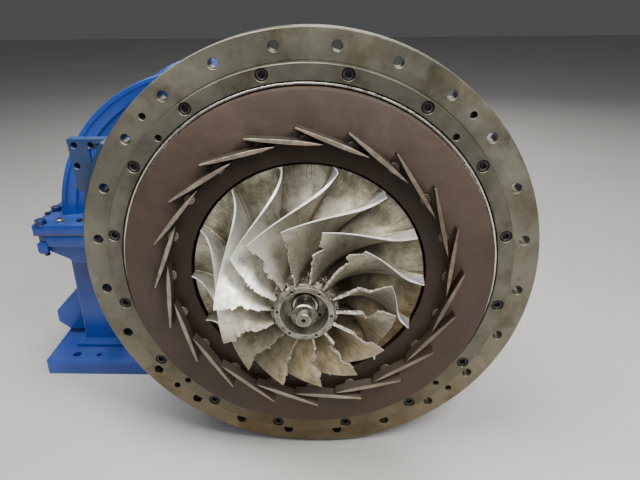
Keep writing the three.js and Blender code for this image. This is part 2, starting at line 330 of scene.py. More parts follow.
def dress(piece, body, nodes=(), smooth=32):
    """Shades a piece, hangs it on its body and hides the nodes it stands for."""
    clean(piece)
    piece.data.shade_smooth()
    piece.data.set_sharp_from_angle(angle=math.radians(smooth))
    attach(piece, body)
    if nodes:
        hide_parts(*nodes)


# Finishes

class Finish:
    """A node material for one of the blower's surfaces."""

    def __init__(self, name, colour, roughness, metallic=0.0):
        self.material = bpy.data.materials.new(name)
        self.material.use_nodes = True
        self.tree = self.material.node_tree
        self.shader = self.tree.nodes["Principled BSDF"]
        self.shader.inputs["Base Color"].default_value = (*colour, 1)
        self.shader.inputs["Roughness"].default_value = roughness
        self.shader.inputs["Metallic"].default_value = metallic
        self.place = self.node("ShaderNodeTexCoord").outputs["Object"]

    def node(self, kind, inputs=None, **settings):
        """Adds a node; its inputs are values or sockets."""
        made = self.tree.nodes.new(kind)
        for name, value in settings.items():
            setattr(made, name, value)
        for name, value in (inputs or {}).items():
            if isinstance(value, bpy.types.NodeSocket):
                self.tree.links.new(value, made.inputs[name])
            else:
                made.inputs[name].default_value = value
        return made

    def maths(self, operation, a, b=0.0, c=0.0):
        """One sum of numbers or sockets."""
        return self.node("ShaderNodeMath", {0: a, 1: b, 2: c}, operation=operation).outputs[0]

    def times(self, a, b):
        """Two numbers or sockets multiplied."""
        return self.maths("MULTIPLY", a, b)

    def spread(self, value, low, high, to_low=0.0, to_high=1.0):
        """A value moved from one range to another and held at its ends."""
        inputs = {"Value": value, "From Min": low, "From Max": high, "To Min": to_low, "To Max": to_high}
        return self.node("ShaderNodeMapRange", inputs).outputs[0]

    def speckle(self, scale, detail=4.0, rough=0.55, at=None, warp=0.0):
        """Cloudy noise, in features per metre."""
        inputs = {"Vector": at or self.place, "Scale": scale, "Detail": detail, "Roughness": rough}
        return self.node("ShaderNodeTexNoise", {**inputs, "Distortion": warp}).outputs["Fac"]

    def lines(self, distance, per_unit, detail=2.0):
        """Fine lines along one measure, such as the marks of a turning tool."""
        inputs = {"W": self.times(distance, per_unit), "Scale": 1.0, "Detail": detail}
        return self.node("ShaderNodeTexNoise", inputs, noise_dimensions="1D").outputs["Fac"]

    @functools.cached_property
    def from_axis(self):
        """How far a point lies to the right of AXIS, behind it and above it, in metres."""
        away = self.node("ShaderNodeVectorMath", {0: self.place, 1: AXIS}, operation="SUBTRACT").outputs[0]
        return list(self.node("ShaderNodeSeparateXYZ", {0: away}).outputs)

    def depth(self):
        """Distance behind the face of the clamp ring, in metres."""
        return self.from_axis[1]

    def height(self):
        """Height above the rotor axis, in metres."""
        return self.from_axis[2]

    def radius(self):
        """Distance from the rotor axis, in metres."""
        right, _, height = self.from_axis
        return self.maths("SQRT", self.maths("ADD", self.times(right, right), self.times(height, height)))

    def angle(self):
        """Angle about the rotor axis, in radians clockwise from the top."""
        right, _, height = self.from_axis
        return self.maths("ARCTAN2", right, height)

    def facing_up(self):
        """How far a surface faces up, from -1 to 1."""
        normal = self.node("ShaderNodeNewGeometry").outputs["Normal"]
        return self.node("ShaderNodeSeparateXYZ", {0: normal}).outputs["Z"]

    def blend(self, amount, first, second, how="MIX"):
        """Mixes two colours; each is a colour or a socket."""
        made = self.node("ShaderNodeMix", data_type="RGBA", blend_type=how)
        for index, value in ((0, amount), (6, first), (7, second)):
            if isinstance(value, bpy.types.NodeSocket):
                self.tree.links.new(value, made.inputs[index])
            else:
                made.inputs[index].default_value = value if index == 0 else (*value, 1)
        return made.outputs[2]

    def stain(self, amount, tone, tint):
        """Darkens or tints a colour by multiplying it."""
        return self.blend(amount, tone, tint, "MULTIPLY")

    def colour(self, socket):
        """Sets the colour of the surface."""
        self.tree.links.new(socket, self.shader.inputs["Base Color"])

    def rough(self, socket):
        """Sets the roughness of the surface."""
        self.tree.links.new(socket, self.shader.inputs["Roughness"])

    def bump(self, height, strength, distance, after=None):
        """Adds fine relief, on top of an earlier one where that is given."""
        inputs = {"Height": height, "Strength": strength, "Distance": distance}
        if after:
            inputs["Normal"] = after
        made = self.node("ShaderNodeBump", inputs).outputs[0]
        self.tree.links.new(made, self.shader.inputs["Normal"])
        return made


def tinted(colour, factor):
    """A colour made darker or lighter."""
    return tuple(min(1.0, c * factor) for c in colour)


BROWN_OIL = (0.50, 0.40, 0.27)
PALE_DUST = (0.29, 0.33, 0.45)
BARE_CHIP = (0.10, 0.075, 0.055)
SEALANT = (0.075, 0.055, 0.045)
# Bracket paint darkened for grime and painted shade
BRACKET_GRIME_AND_SHADE = (0.020, 0.045, 0.125)
DULL_STEEL = (0.50, 0.48, 0.42)
LIP_STEEL = (0.80, 0.77, 0.70)


def machined_finish(name, base):
    """Bare turned cast iron of the rings: olive grey, smudged with oil and oxide, browner low down as a
    painted warm reflection.
    """
    f = Finish(name, base, 0.42, 0.75)
    clouds = f.spread(f.speckle(6, 5, 0.6, warp=0.8), 0.40, 0.60)
    tone = f.blend(clouds, tinted(base, 0.84), tinted(base, 1.14))
    smudge = f.spread(f.speckle(11, 5, 0.6, warp=0.2), 0.50, 0.64)
    tone = f.stain(f.times(smudge, 0.55), tone, BROWN_OIL)
    dark = f.spread(f.speckle(21, 5, 0.62, warp=0.2), 0.56, 0.68)
    tone = f.stain(f.times(dark, 0.5), tone, (0.55, 0.52, 0.46))
    pale = f.spread(f.speckle(13, 6, 0.66, warp=0.2), 0.54, 0.66)
    tone = f.blend(f.times(pale, 0.35), tone, tinted(base, 1.6))
    # Painted reflection: warm light from below makes the lower part browner
    tone = f.stain(f.spread(f.height(), -0.12, -0.46, 0.0, 0.85), tone, (0.86, 0.67, 0.43))
    marks = f.lines(f.radius(), 900.0, 3.0)
    tone = f.stain(f.spread(marks, 0.42, 0.62, 0.0, 0.35), tone, (0.62, 0.60, 0.56))
    f.colour(tone)
    f.rough(f.spread(f.maths("ADD", clouds, marks), 0.3, 1.6, 0.34, 0.55))
    first = f.bump(marks, 0.18, 0.0004)
    f.bump(f.speckle(240, 3, 0.6), 0.10, 0.0004, first)
    return f.material


def bright_finish(name, base, roughness=0.24):
    """Turned and polished steel."""
    f = Finish(name, base, roughness, 0.95)
    film = f.spread(f.speckle(60, 5, 0.6), 0.44, 0.60)
    f.colour(f.blend(f.times(film, 0.4), base, tinted(base, 0.42)))
    f.rough(f.spread(f.speckle(90, 4, 0.6), 0.4, 0.6, roughness * 0.7, roughness * 1.7))
    f.bump(f.lines(f.maths("ADD", f.radius(), f.depth()), 2600.0), 0.2, 0.0002)
    return f.material


def primer_finish(base):
    """Matt brown primer on the diffuser plate, darker inside a ragged circle round the vanes, rubbed and
    scratched outside, browner low down as a painted warm reflection.
    """
    f = Finish("brown_plate", base, 0.62)
    f.shader.inputs["Specular IOR Level"].default_value = 0.35
    radius = f.radius()
    clouds = f.spread(f.speckle(4.2, 5, 0.55, warp=0.5), 0.40, 0.60)
    tone = f.blend(clouds, tinted(base, 0.86), tinted(base, 1.14))
    dust = f.spread(f.speckle(38, 7, 0.7, warp=0.6), 0.50, 0.66)
    tone = f.blend(f.times(dust, 0.22), tone, tinted(base, 1.9))
    bent = {"X": f.times(radius, 60.0), "Y": f.times(f.angle(), 1.6)}
    along = f.node("ShaderNodeCombineXYZ", bent).outputs[0]
    arcs = f.spread(f.speckle(1.0, 6, 0.7, at=along), 0.58, 0.70)
    tone = f.blend(f.times(arcs, 0.16), tone, tinted(base, 2.2))
    # Darker and smoother inside a ragged circle round the vanes
    ragged = f.maths("ADD", radius, f.times(f.speckle(16, 4, 0.6), 0.020))
    oily = f.spread(ragged, 0.318, 0.334, 1.0, 0.0)
    tone = f.stain(f.times(oily, 0.9), tone, (0.38, 0.29, 0.19))
    # Painted reflection: warm light from below makes the lower part browner
    tone = f.stain(f.spread(f.height(), -0.10, -0.40, 0.0, 0.8), tone, (0.88, 0.72, 0.48))
    f.colour(tone)
    f.rough(f.spread(f.maths("ADD", dust, f.times(oily, -0.8)), -0.8, 1.0, 0.42, 0.74))
    f.bump(f.speckle(420, 3, 0.6), 0.12, 0.0005)
    return f.material


def cast_finish(base, smooth):
    """Blasted casting of the impeller, cream, with painted light and shade: a painted highlight on the upper
    left blades, painted shade on the upper right ones, a painted warm reflection making the lower ones tan,
    painted shadows on the hub beside the blades, and dirt with painted shade at the blade roots and deep in
    the channels.
    """
    f = Finish("cast_impeller", base, 0.44, 0.8)
    radius, angle = f.radius(), f.angle()
    share = f.spread(radius, HUB_START / 1000, (HUB_START + HUB_REACH) / 1000, 1.0, 0.0)
    bulge = f.maths("SQRT", f.maths("SUBTRACT", 1.0, f.times(share, share)))
    hub = f.maths("MULTIPLY_ADD", bulge, HUB_LENGTH / 1000, HUB_FRONT / 1000)
    above = f.maths("SUBTRACT", hub, f.depth())
    on_hub = f.spread(above, 0.0008, 0.006, 1.0, 0.0)
    clouds = f.spread(f.speckle(16, 6, 0.66, warp=0.2), 0.41, 0.59)
    tone = f.blend(clouds, tinted(base, 0.72), tinted(base, 1.14))
    sheet = f.times(f.spread(above, 0.004, 0.010), f.spread(radius, 0.155, 0.205))
    tone = f.blend(f.times(sheet, 0.8), tone, smooth)
    side = f.maths("SINE", angle)
    # Painted shade: the upper right blades darker grey, where light falls on them less
    worn = f.times(f.spread(side, -0.55, 0.35), f.spread(above, 0.006, 0.020))
    worn = f.times(worn, f.spread(f.height(), -0.10, 0.0, 0.0, 0.6))
    tone = f.stain(worn, tone, (0.72, 0.70, 0.66))
    # Painted highlight: the outer parts of the upper left blades lighter, where light falls on them
    rubbed = f.times(f.spread(above, 0.040, 0.095), f.spread(f.height(), -0.06, 0.02))
    rubbed = f.times(rubbed, f.spread(side, -0.20, -0.75))
    tone = f.blend(f.times(rubbed, f.spread(clouds, 0.0, 1.0, 0.60, 0.95)), tone, (0.97, 0.955, 0.88))
    # Painted reflection: warm light from below tints the lower blades tan
    tan = f.times(f.spread(f.height(), 0.02, -0.10, 0.0, 0.95), f.spread(side, -0.70, -0.10, 0.55, 1.0))
    tone = f.stain(tan, tone, (0.84, 0.705, 0.53))
    fine = f.spread(f.speckle(75, 6, 0.7), 0.44, 0.60)
    tone = f.stain(f.times(fine, 0.35), tone, (0.50, 0.45, 0.36))
    patches = f.spread(f.speckle(18, 6, 0.62, warp=0.2), 0.47, 0.62)
    tone = f.stain(f.times(f.times(patches, on_hub), 0.75), tone, (0.36, 0.33, 0.24))
    smudge = f.spread(f.speckle(38, 6, 0.7, warp=0.2), 0.54, 0.64)
    tone = f.stain(f.times(smudge, 0.55), tone, (0.38, 0.33, 0.25))
    # Dirt and painted shade in the crease at the foot of each blade
    root = f.times(f.spread(above, 0.0004, 0.0016), f.spread(above, 0.003, 0.010, 1.0, 0.0))
    tone = f.stain(f.times(root, 0.6), tone, (0.26, 0.22, 0.16))
    # Painted shadow: the hub darkened beside each blade, on its clockwise side, where the blade shades it
    along = f.maths("MULTIPLY", f.maths("ARCCOSINE", share), 2 / math.pi)
    rest = f.maths("POWER", f.maths("SUBTRACT", 1.0, along), HUB_SWEEP)
    wrap, start = WRAP_DEGREES - HUB_LAG_DEGREES, HUB_LAG_DEGREES - FIRST_TIP_DEGREES
    turn = f.maths("MULTIPLY_ADD", rest, math.radians(wrap), math.radians(start))
    channel = f.maths("FRACT", f.maths("MULTIPLY", f.maths("ADD", angle, turn), BLADES / math.tau))
    painted_blade_shadow = f.times(f.spread(channel, 0.05, 0.65, 1.0, 0.0), f.spread(radius, 0.160, 0.248, 1.0, 0.55))
    tone = f.stain(f.times(f.times(painted_blade_shadow, on_hub), 0.95), tone, (0.12, 0.100, 0.070))
    shaded = f.times(f.spread(side, 0.45, 0.95), on_hub)
    tone = f.stain(f.times(shaded, 0.85), tone, (0.46, 0.43, 0.37))
    # Dirt and painted shade deep in the channels near the nose
    deep = f.times(f.spread(radius, 0.100, 0.180, 1.0, 0.0), f.spread(above, 0.006, 0.055, 1.0, 0.0))
    tone = f.stain(f.times(deep, 0.9), tone, (0.14, 0.115, 0.085))
    flutes = f.lines(angle, 95.0, 1.0)
    rim = f.times(f.times(f.spread(radius, 0.196, 0.232), on_hub), f.spread(flutes, 0.45, 0.58))
    tone = f.stain(f.times(rim, 0.42), tone, (0.42, 0.39, 0.31))
    f.colour(tone)
    f.rough(f.spread(f.maths("ADD", fine, f.maths("SUBTRACT", 1.0, clouds)), 0.0, 2.0, 0.36, 0.58))
    first = f.bump(f.speckle(130, 5, 0.65), 0.25, 0.0007)
    f.bump(rim, 0.7, 0.0006, first)
    return f.material


def flank_finish(base):
    """Smooth grey side of the blades, brighter near the rim and darker towards the hub with dirt and painted
    shade.
    """
    f = Finish("blade_flank", base, 0.38, 0.7)
    clouds = f.spread(f.speckle(18, 5, 0.62, warp=0.2), 0.42, 0.60)
    tone = f.blend(clouds, tinted(base, 0.80), tinted(base, 1.10))
    # Dirt and painted shade: darker towards the hub, deep between the blades
    inner = f.spread(f.radius(), 0.215, 0.120, 0.0, 0.85)
    tone = f.stain(inner, tone, (0.46, 0.40, 0.31))
    film = f.spread(f.speckle(55, 6, 0.66), 0.50, 0.64)
    tone = f.stain(f.times(film, 0.40), tone, (0.50, 0.44, 0.35))
    f.colour(tone)
    f.rough(f.spread(clouds, 0.0, 1.0, 0.34, 0.46))
    f.bump(f.speckle(180, 4, 0.6), 0.14, 0.0005)
    return f.material


def nose_finish():
    """Turned nose and cup of the impeller, dull and pitted, with painted shade inside the cup and a painted
    highlight on its edge.
    """
    f = Finish("turned_nose", (0.36, 0.34, 0.29), 0.42, 0.6)
    radius = f.radius()
    film = f.spread(f.speckle(42, 6, 0.66, warp=0.9), 0.42, 0.60)
    tone = f.blend(film, (0.32, 0.30, 0.245), (0.14, 0.125, 0.095))
    pits = f.spread(f.speckle(150, 4, 0.65), 0.60, 0.68)
    tone = f.stain(f.times(pits, 0.7), tone, (0.30, 0.26, 0.20))
    # Painted shade: darker inside the cup
    cup_shade = f.spread(radius, 0.0478, 0.0486, 1.0, 0.0)
    tone = f.blend(cup_shade, tone, f.blend(film, (0.27, 0.26, 0.20), (0.14, 0.130, 0.098)))
    # Painted highlight along the edge of the cup
    lip = f.times(f.spread(radius, 0.0476, 0.0482), f.spread(radius, 0.0490, 0.0498, 1.0, 0.0))
    f.colour(f.blend(f.times(lip, 0.6), tone, (0.66, 0.64, 0.56)))
    f.rough(f.spread(film, 0.0, 1.0, 0.34, 0.56))
    first = f.bump(f.lines(f.maths("ADD", radius, f.depth()), 1500.0), 0.2, 0.0003)
    f.bump(f.speckle(120, 5, 0.65), 0.2, 0.0006, first)
    return f.material


def torn_finish():
    """Fresh bright metal where the leading edges broke out."""
    f = Finish("torn_metal", (0.86, 0.83, 0.74), 0.45, 0.4)
    grit = f.speckle(190, 6, 0.7)
    f.colour(f.blend(f.spread(grit, 0.42, 0.60), (0.32, 0.28, 0.22), (0.86, 0.84, 0.75)))
    first = f.bump(grit, 0.8, 0.0014)
    f.bump(f.speckle(420, 3, 0.6), 0.5, 0.0006, first)
    return f.material


def scale_finish():
    """Grey scale baked on around the nose."""
    f = Finish("nose_scale", (0.55, 0.53, 0.47), 0.6, 0.3)
    grit = f.speckle(120, 5, 0.7)
    f.colour(f.blend(f.spread(grit, 0.42, 0.58), (0.26, 0.23, 0.18), (0.80, 0.78, 0.71)))
    f.bump(grit, 0.6, 0.0010)
    return f.material


def edge_finish():
    """Rubbed free edges of the blades."""
    f = Finish("rubbed_edge", (0.88, 0.87, 0.82), 0.32, 0.2)
    worn = f.spread(f.speckle(55, 5, 0.6), 0.46, 0.62)
    f.colour(f.blend(f.times(worn, 0.7), (0.96, 0.95, 0.91), (0.62, 0.58, 0.49)))
    f.bump(f.speckle(260, 4, 0.6), 0.2, 0.0005)
    return f.material


def vane_finish(base, name, factor, roughness, painted_light_below=1.0):
    """Dull machined vane metal with a brown film, scaled by a factor, with painted light on the vanes low
    down and painted shade on those at the right.
    """
    base = tinted(base, factor)
    f = Finish(name, base, roughness, 0.5)
    film = f.spread(f.speckle(30, 6, 0.62, warp=0.7), 0.42, 0.60)
    tone = f.blend(film, base, tinted(base, 0.62))
    pale = f.spread(f.speckle(75, 6, 0.7), 0.52, 0.66)
    tone = f.blend(f.times(pale, 0.5), tone, tinted(base, 1.5))
    # Painted light: the vanes low down lighter
    tone = f.blend(f.spread(f.height(), -0.06, -0.24, 0.0, 0.6), tone, tinted(base, painted_light_below))
    # Painted shade: the vanes at the right darker
    f.colour(f.stain(f.spread(f.maths("SINE", f.angle()), 0.30, 0.85), tone, (0.60, 0.56, 0.51)))
    f.rough(f.spread(film, 0.0, 1.0, roughness * 0.85, roughness * 1.25))
    f.bump(f.speckle(260, 4, 0.6), 0.18, 0.0005)
    return f.material


def paint_finish(name, base, seam_height=None):
    """Gloss blue enamel over rough castings, dusty on top, chipped at places, and where there is a seam, with
    a painted shadow on the casing below the split flange.
    """
    f = Finish(name, base, 0.34)
    f.shader.inputs["Coat Weight"].default_value = 0.25
    f.shader.inputs["Coat Roughness"].default_value = 0.12
    shade = f.spread(f.speckle(3.5, 4, 0.5), 0.42, 0.60)
    tone = f.blend(shade, tinted(base, 0.84), tinted(base, 1.12))
    blotch = f.spread(f.speckle(14, 5, 0.60, warp=0.2), 0.42, 0.60)
    dust = f.times(f.spread(f.facing_up(), 0.5, 0.95), f.spread(blotch, 0.0, 1.0, 0.09, 0.18))
    tone = f.blend(dust, tone, PALE_DUST)
    grime = f.spread(f.speckle(8, 6, 0.68, warp=0.2), 0.48, 0.64)
    tone = f.stain(f.times(grime, 0.40), tone, (0.46, 0.48, 0.54))
    chips = f.spread(f.speckle(58, 8, 0.72, warp=0.4), 0.655, 0.675)
    tone = f.blend(chips, tone, BARE_CHIP)
    if seam_height is not None:
        off = f.maths("ABSOLUTE", f.maths("SUBTRACT", f.height(), seam_height))
        seam = f.times(f.spread(off, 0.003, 0.006, 1.0, 0.0), f.spread(f.speckle(70, 5, 0.6), 0.36, 0.48))
        tone = f.blend(seam, tone, SEALANT)
        # Painted shadow of the split flange on the casing below it
        below = f.times(f.spread(f.height(), -0.27, -0.13), f.spread(f.height(), -0.070, -0.078))
        tone = f.stain(f.times(below, 0.6), tone, (0.42, 0.46, 0.56))
    f.colour(tone)
    f.rough(f.spread(f.maths("ADD", dust, chips), 0.0, 0.8, 0.30, 0.62))
    first = f.bump(f.speckle(34, 4, 0.55), 0.22, 0.0016)
    f.bump(f.speckle(210, 3, 0.5), 0.08, 0.0005, first)
    return f.material


def black_finish():
    """Black oxide of the socket screws, oily, with rubbed edges."""
    f = Finish("black_oxide", (0.022, 0.021, 0.020), 0.38, 0.3)
    worn = f.spread(f.speckle(150, 5, 0.65), 0.50, 0.64)
    f.colour(f.blend(f.times(worn, 0.5), (0.020, 0.019, 0.018), (0.13, 0.12, 0.10)))
    f.bump(f.speckle(400, 3, 0.6), 0.2, 0.0004)
    return f.material


def painted_shade_finish():
    """Near-black painted shade on the wall behind the impeller and in the shaft's centre hole."""
    f = Finish("dark_wall", (0.018, 0.016, 0.014), 0.7)
    f.colour(f.blend(f.spread(f.speckle(80), 0.4, 0.6), (0.010, 0.009, 0.008), (0.035, 0.028, 0.022)))
    return f.material


def floor_finish():
    """Pale even floor."""
    f = Finish("pale_floor", (0.62, 0.61, 0.59), 0.75)
    f.colour(f.blend(f.spread(f.speckle(1.2, 3), 0.35, 0.65), (0.60, 0.59, 0.57), (0.64, 0.63, 0.61)))
    return f.material


# Settings

def length_property(name, description, default, low, high):
    """A length, in metres."""
    return FloatProperty(
        name=name, description=description, default=default, min=low, max=high,
        precision=4, subtype="DISTANCE")


def colour_property(name, description, default):
    """A colour."""
    return FloatVectorProperty(
        name=name, description=description, default=default, size=3, subtype="COLOR", min=0, max=1)


class BlowerSizes(bpy.types.PropertyGroup):
    """Sizes of the finished pieces."""
    ring_radius: length_property("Ring radius", "Outer radius of the bolting ring", RING_RADIUS, 0.4, 0.6)
    ring_steps: IntProperty(
        name="Ring steps", description="Facets around each ring", default=288, min=72, max=720)
    edge_chamfer: length_property("Edge chamfer", "Chamfer of the holes", 0.001, 0.0002, 0.003)
    blade_root: length_property("Blade root", "Half thickness of a blade at its hub", 0.0037, 0.002, 0.006)
    blade_edge: length_property("Blade edge", "Half thickness at a blade's free edge", 0.0024, 0.001, 0.004)
    root_fillet: length_property("Root fillet", "Fillet radius between blade and hub", 0.0065, 0.001, 0.012)
    tear_depth: FloatProperty(
        name="Tear depth", description="How strongly the leading edges are torn",
        default=1.0, min=0, max=2, subtype="FACTOR")
    vane_thickness: length_property("Vane thickness", "Greatest thickness of a vane", 0.0092, 0.004, 0.014)


class BlowerColours(bpy.types.PropertyGroup):
    """Colours of the finishes."""
    ring: colour_property("Ring", "Bare machined iron of the rings", (0.220, 0.212, 0.168))
    plate: colour_property("Diffuser plate", "Brown primer", (0.062, 0.042, 0.031))
    impeller: colour_property("Impeller", "Cast surface of the impeller", (0.63, 0.61, 0.495))
    flank: colour_property("Blade backs", "Smooth grey side of the blades", (0.74, 0.74, 0.72))
    vane: colour_property("Vanes", "Dull metal of the vanes", (0.210, 0.172, 0.136))
    paint: colour_property("Casing", "Blue enamel of the casing", (0.009, 0.062, 0.370))


def sizes():
    """The settings of the sizes."""
    return bpy.context.scene.blower_sizes


def in_mm(length):
    """A length from the settings in millimetres."""
    return round(length * 1000, 4)


def colours():
    """The settings of the colours."""
    return bpy.context.scene.blower_colours


def finish_named(name, make):
    """The finish of that name, made once."""
    return bpy.data.materials.get(name) or make()


def enamel():
    """Paint of the castings."""
    return finish_named("blue_enamel", lambda: paint_finish("blue_enamel", tuple(colours().paint)))


def casing_enamel():
    """Paint of the two halves of the gear casing, with a line of sealant at their split and a painted shadow
    below it.
    """
    paint = tuple(colours().paint)
    return finish_named("casing_enamel", lambda: paint_finish("casing_enamel", paint, SPLIT / 1000))


def bolt_enamel():
    """Darker paint of the bolt heads."""
    paint = tinted(tuple(colours().paint), 0.30)
    return finish_named("bolt_enamel", lambda: paint_finish("bolt_enamel", paint))


def bracket_grime_and_shade():
    """Blue paint of the drive bracket, greyer and darker with grime and painted shade."""
    return finish_named("bracket_grime_and_shade", lambda: paint_finish("bracket_grime_and_shade", BRACKET_GRIME_AND_SHADE))


def polished():
    """Steel of the shafts."""
    return finish_named("polished_steel", lambda: bright_finish("polished_steel", DULL_STEEL, 0.30))


def black_oxide():
    """Finish of the socket screws."""
    return finish_named("black_oxide", black_finish)


# Bolts

def hex_head(across, height, washer, x=0, z=0):
    """Hexagon bolt head on its washer of [radius, thickness], on a face at depth 0."""
    corner = across / math.sqrt(3)
    turns = [math.radians(60 * i + 12) for i in range(6)]
    wide, thick = washer
    top = -thick - height
    head = slab([(x + corner * math.cos(a), z + corner * math.sin(a)) for a in turns], top, -thick)
    crown = [(0, top - 0.8), (across * 0.44, top - 0.8), (across * 0.47, top + 0.2), (0, top + 0.2)]
    ring = [(0, -thick), (wide - 0.6, -thick), (wide, 0.6 - thick), (wide, 1), (0, 1)]
    return merged([head, turned(crown, 24, (x, z)), turned(ring, HOLE_STEPS, (x, z))])


def socket_head(radius, key, front, back, x, z):
    """Socket screw head facing the front; key is half the width of its hexagon socket across the corners."""
    steps, round_off, mouth_depth, socket_depth = 48, 1.2, 0.7, 9
    turns = [2 * math.pi * i / steps for i in range(steps)]
    rim = [
        (radius, back), (radius, front + round_off), (radius - round_off, front),
        (key * 1.22, front), (key * 1.12, front + mouth_depth),
    ]
    points, faces = [], []
    for r, y in rim:
        points += [(x + r * math.cos(a), y, z + r * math.sin(a)) for a in turns]
    for y in (front + mouth_depth, front + socket_depth):
        for a in turns:
            reach = key * math.cos(math.pi / 6) / math.cos((a % (math.pi / 3)) - math.pi / 6)
            points.append((x + reach * math.cos(a), y, z + reach * math.sin(a)))
    for ring in range(len(rim) + 1):
        low, high = ring * steps, (ring + 1) * steps
        faces += [[low + i, low + (i + 1) % steps, high + (i + 1) % steps, high + i] for i in range(steps)]
    last = (len(rim) + 1) * steps
    faces.append([last + i for i in range(steps)])
    faces.append(list(reversed(range(steps))))
    return points, faces


# Pieces at the front

class BLOWER_OT_bolting_ring(bpy.types.Operator):
    """Bolting ring with 24 through holes and 4 small threaded holes"""
    bl_idname = "blower.bolting_ring"
    bl_label = "Bolting ring"

    def execute(self, context):
        s = sizes()
        outer = in_mm(s.ring_radius)
        seat = CLAMP_OUTER + 1
        profile = [
            (FLANGE_BORE, CLAMP_SEAT), (seat, CLAMP_SEAT),
            (seat, FLANGE_FRONT + 0.5), (seat + 0.5, FLANGE_FRONT),
            (outer - 2, FLANGE_FRONT), (outer, FLANGE_FRONT + 2), (outer, FLANGE_BACK - 1.5),
            (outer - 1.5, FLANGE_BACK), (FLANGE_BORE + 1.5, FLANGE_BACK), (FLANGE_BORE, FLANGE_BACK - 1.5),
        ]
        metal = machined_finish("flange_metal", tuple(colours().ring))
        ring = raw("bolting_ring", turned(profile, s.ring_steps), [metal])
        bolt_turns = [360 / FLANGE_HOLES * (i + 0.5) for i in range(FLANGE_HOLES)]
        tap_turns = [360 / FLANGE_TAPS * (i + 0.5) for i in range(FLANGE_TAPS)]
        size = (FLANGE_HOLE_RADIUS, FLANGE_FRONT, FLANGE_BACK, BOLT_CIRCLE)
        bolts = [drill(*size, turn, in_mm(s.edge_chamfer)) for turn in bolt_turns]
        taps = [blind(FLANGE_TAP_RADIUS, FLANGE_FRONT, 60, *around(BOLT_CIRCLE, turn)) for turn in tap_turns]
        cut(ring, merged(bolts + taps))
        dress(ring, "frame", ["flange_ring"])
        return {"FINISHED"}


class BLOWER_OT_clamp_ring(bpy.types.Operator):
    """Clamp ring with its counterbored socket screws"""
    bl_idname = "blower.clamp_ring"
    bl_label = "Clamp ring and screws"

    def execute(self, context):
        s = sizes()
        profile = [
            (CLAMP_INNER, 0.8), (CLAMP_INNER + 0.8, 0), (CLAMP_OUTER - 1.5, 0),
            (CLAMP_OUTER, 1.5), (CLAMP_OUTER, CLAMP_SEAT), (CLAMP_INNER, CLAMP_SEAT),
        ]
        metal = machined_finish("clamp_metal", tinted(tuple(colours().ring), 0.74))
        ring = raw("clamp_ring_face", turned(profile, s.ring_steps), [metal])
        spots = [around(SCREW_CIRCLE, 360 / SCREWS * (i + 0.5)) for i in range(SCREWS)]
        holes = [blind(13, 0, 18, x, z, in_mm(s.edge_chamfer)) for x, z in spots]
        tap_turns = [360 / CLAMP_TAPS * (i + 0.5) for i in range(CLAMP_TAPS)]
        holes += [blind(7, 0, 24, *around(CLAMP_TAP_CIRCLE, turn)) for turn in tap_turns]
        cut(ring, merged(holes))
        dress(ring, "frame", ["clamp_ring"])
        heads = merged([socket_head(12, 7.6, 2.5, 18.4, x, z) for x, z in spots])
        dress(raw("clamp_screws", heads, [black_oxide()]), "frame")
        return {"FINISHED"}


class BLOWER_OT_lip_ring(bpy.types.Operator):
    """Thin bright lip around the diffuser plate"""
    bl_idname = "blower.lip_ring"
    bl_label = "Lip ring"

    def execute(self, context):
        lip = [
            (LIP_INNER, -0.6), (LIP_INNER + 0.4, -1), (LIP_OUTER - 0.4, -1), (LIP_OUTER, -0.6),
            (LIP_OUTER, CLAMP_SEAT), (LIP_BORE, CLAMP_SEAT), (LIP_BORE, PLATE_BACK), (LIP_INNER, PLATE_BACK),
        ]
        bright = bright_finish("lip_steel", LIP_STEEL, 0.30)
        ring = raw("bright_lip", turned(lip, sizes().ring_steps), [bright])
        dress(ring, "frame", ["lip_ring"])
        return {"FINISHED"}


class BLOWER_OT_diffuser_plate(bpy.types.Operator):
    """Brown diffuser plate with a stepped hole for every vane"""
    bl_idname = "blower.diffuser_plate"
    bl_label = "Diffuser plate"

    def execute(self, context):
        profile = [
            (PLATE_BORE, PLATE_FRONT + 1), (PLATE_BORE + 1, PLATE_FRONT), (PLATE_OUTER - 4, PLATE_FRONT),
            (PLATE_OUTER - 0.8, PLATE_FRONT + 1.8), (PLATE_OUTER, PLATE_FRONT + 4),
            (PLATE_OUTER, PLATE_BACK), (PLATE_BORE, PLATE_BACK),
        ]
        primer = primer_finish(tuple(colours().plate))
        plate = raw("diffuser_face", turned(profile, sizes().ring_steps), [primer])
        spots = [around(VANE_CIRCLE, 360 / VANES * i) for i in range(VANES)]
        pits = [blind(12.8, PLATE_FRONT, -16, x, z, 0.6) for x, z in spots]
        spindles = [rod(8, -18, 22, x, z, 24) for x, z in spots]
        cut(plate, merged(pits), merged(spindles))
        dress(plate, "frame", ["diffuser_plate"])
        return {"FINISHED"}


# Half thickness of a vane along it, from its blunt outer end to its thin inner one, as a share of its most
VANE_STATIONS = [
    (-121, 0.34), (-112, 0.46), (-95, 0.66), (-70, 0.88), (-45, 0.98), (-25, 1.0),
    (-8, 0.93), (8, 0.74), (22, 0.44), (31, 0.19), (35, 0.07),
]

VANE_SIDE, VANE_EDGE, VANE_DISC = range(3)


def vane_section(thickness, inset=0.0):
    """Lens-shaped outline of a vane, with its pivot at the origin."""
    upper = []
    for i, (x, share) in enumerate(VANE_STATIONS):
        if i == 0:
            x += inset
        if i == len(VANE_STATIONS) - 1:
            x -= inset
        upper.append((x, max(thickness / 2 * share - inset, 0.15)))
    return [(x, -half) for x, half in upper] + [(x, half) for x, half in reversed(upper)]


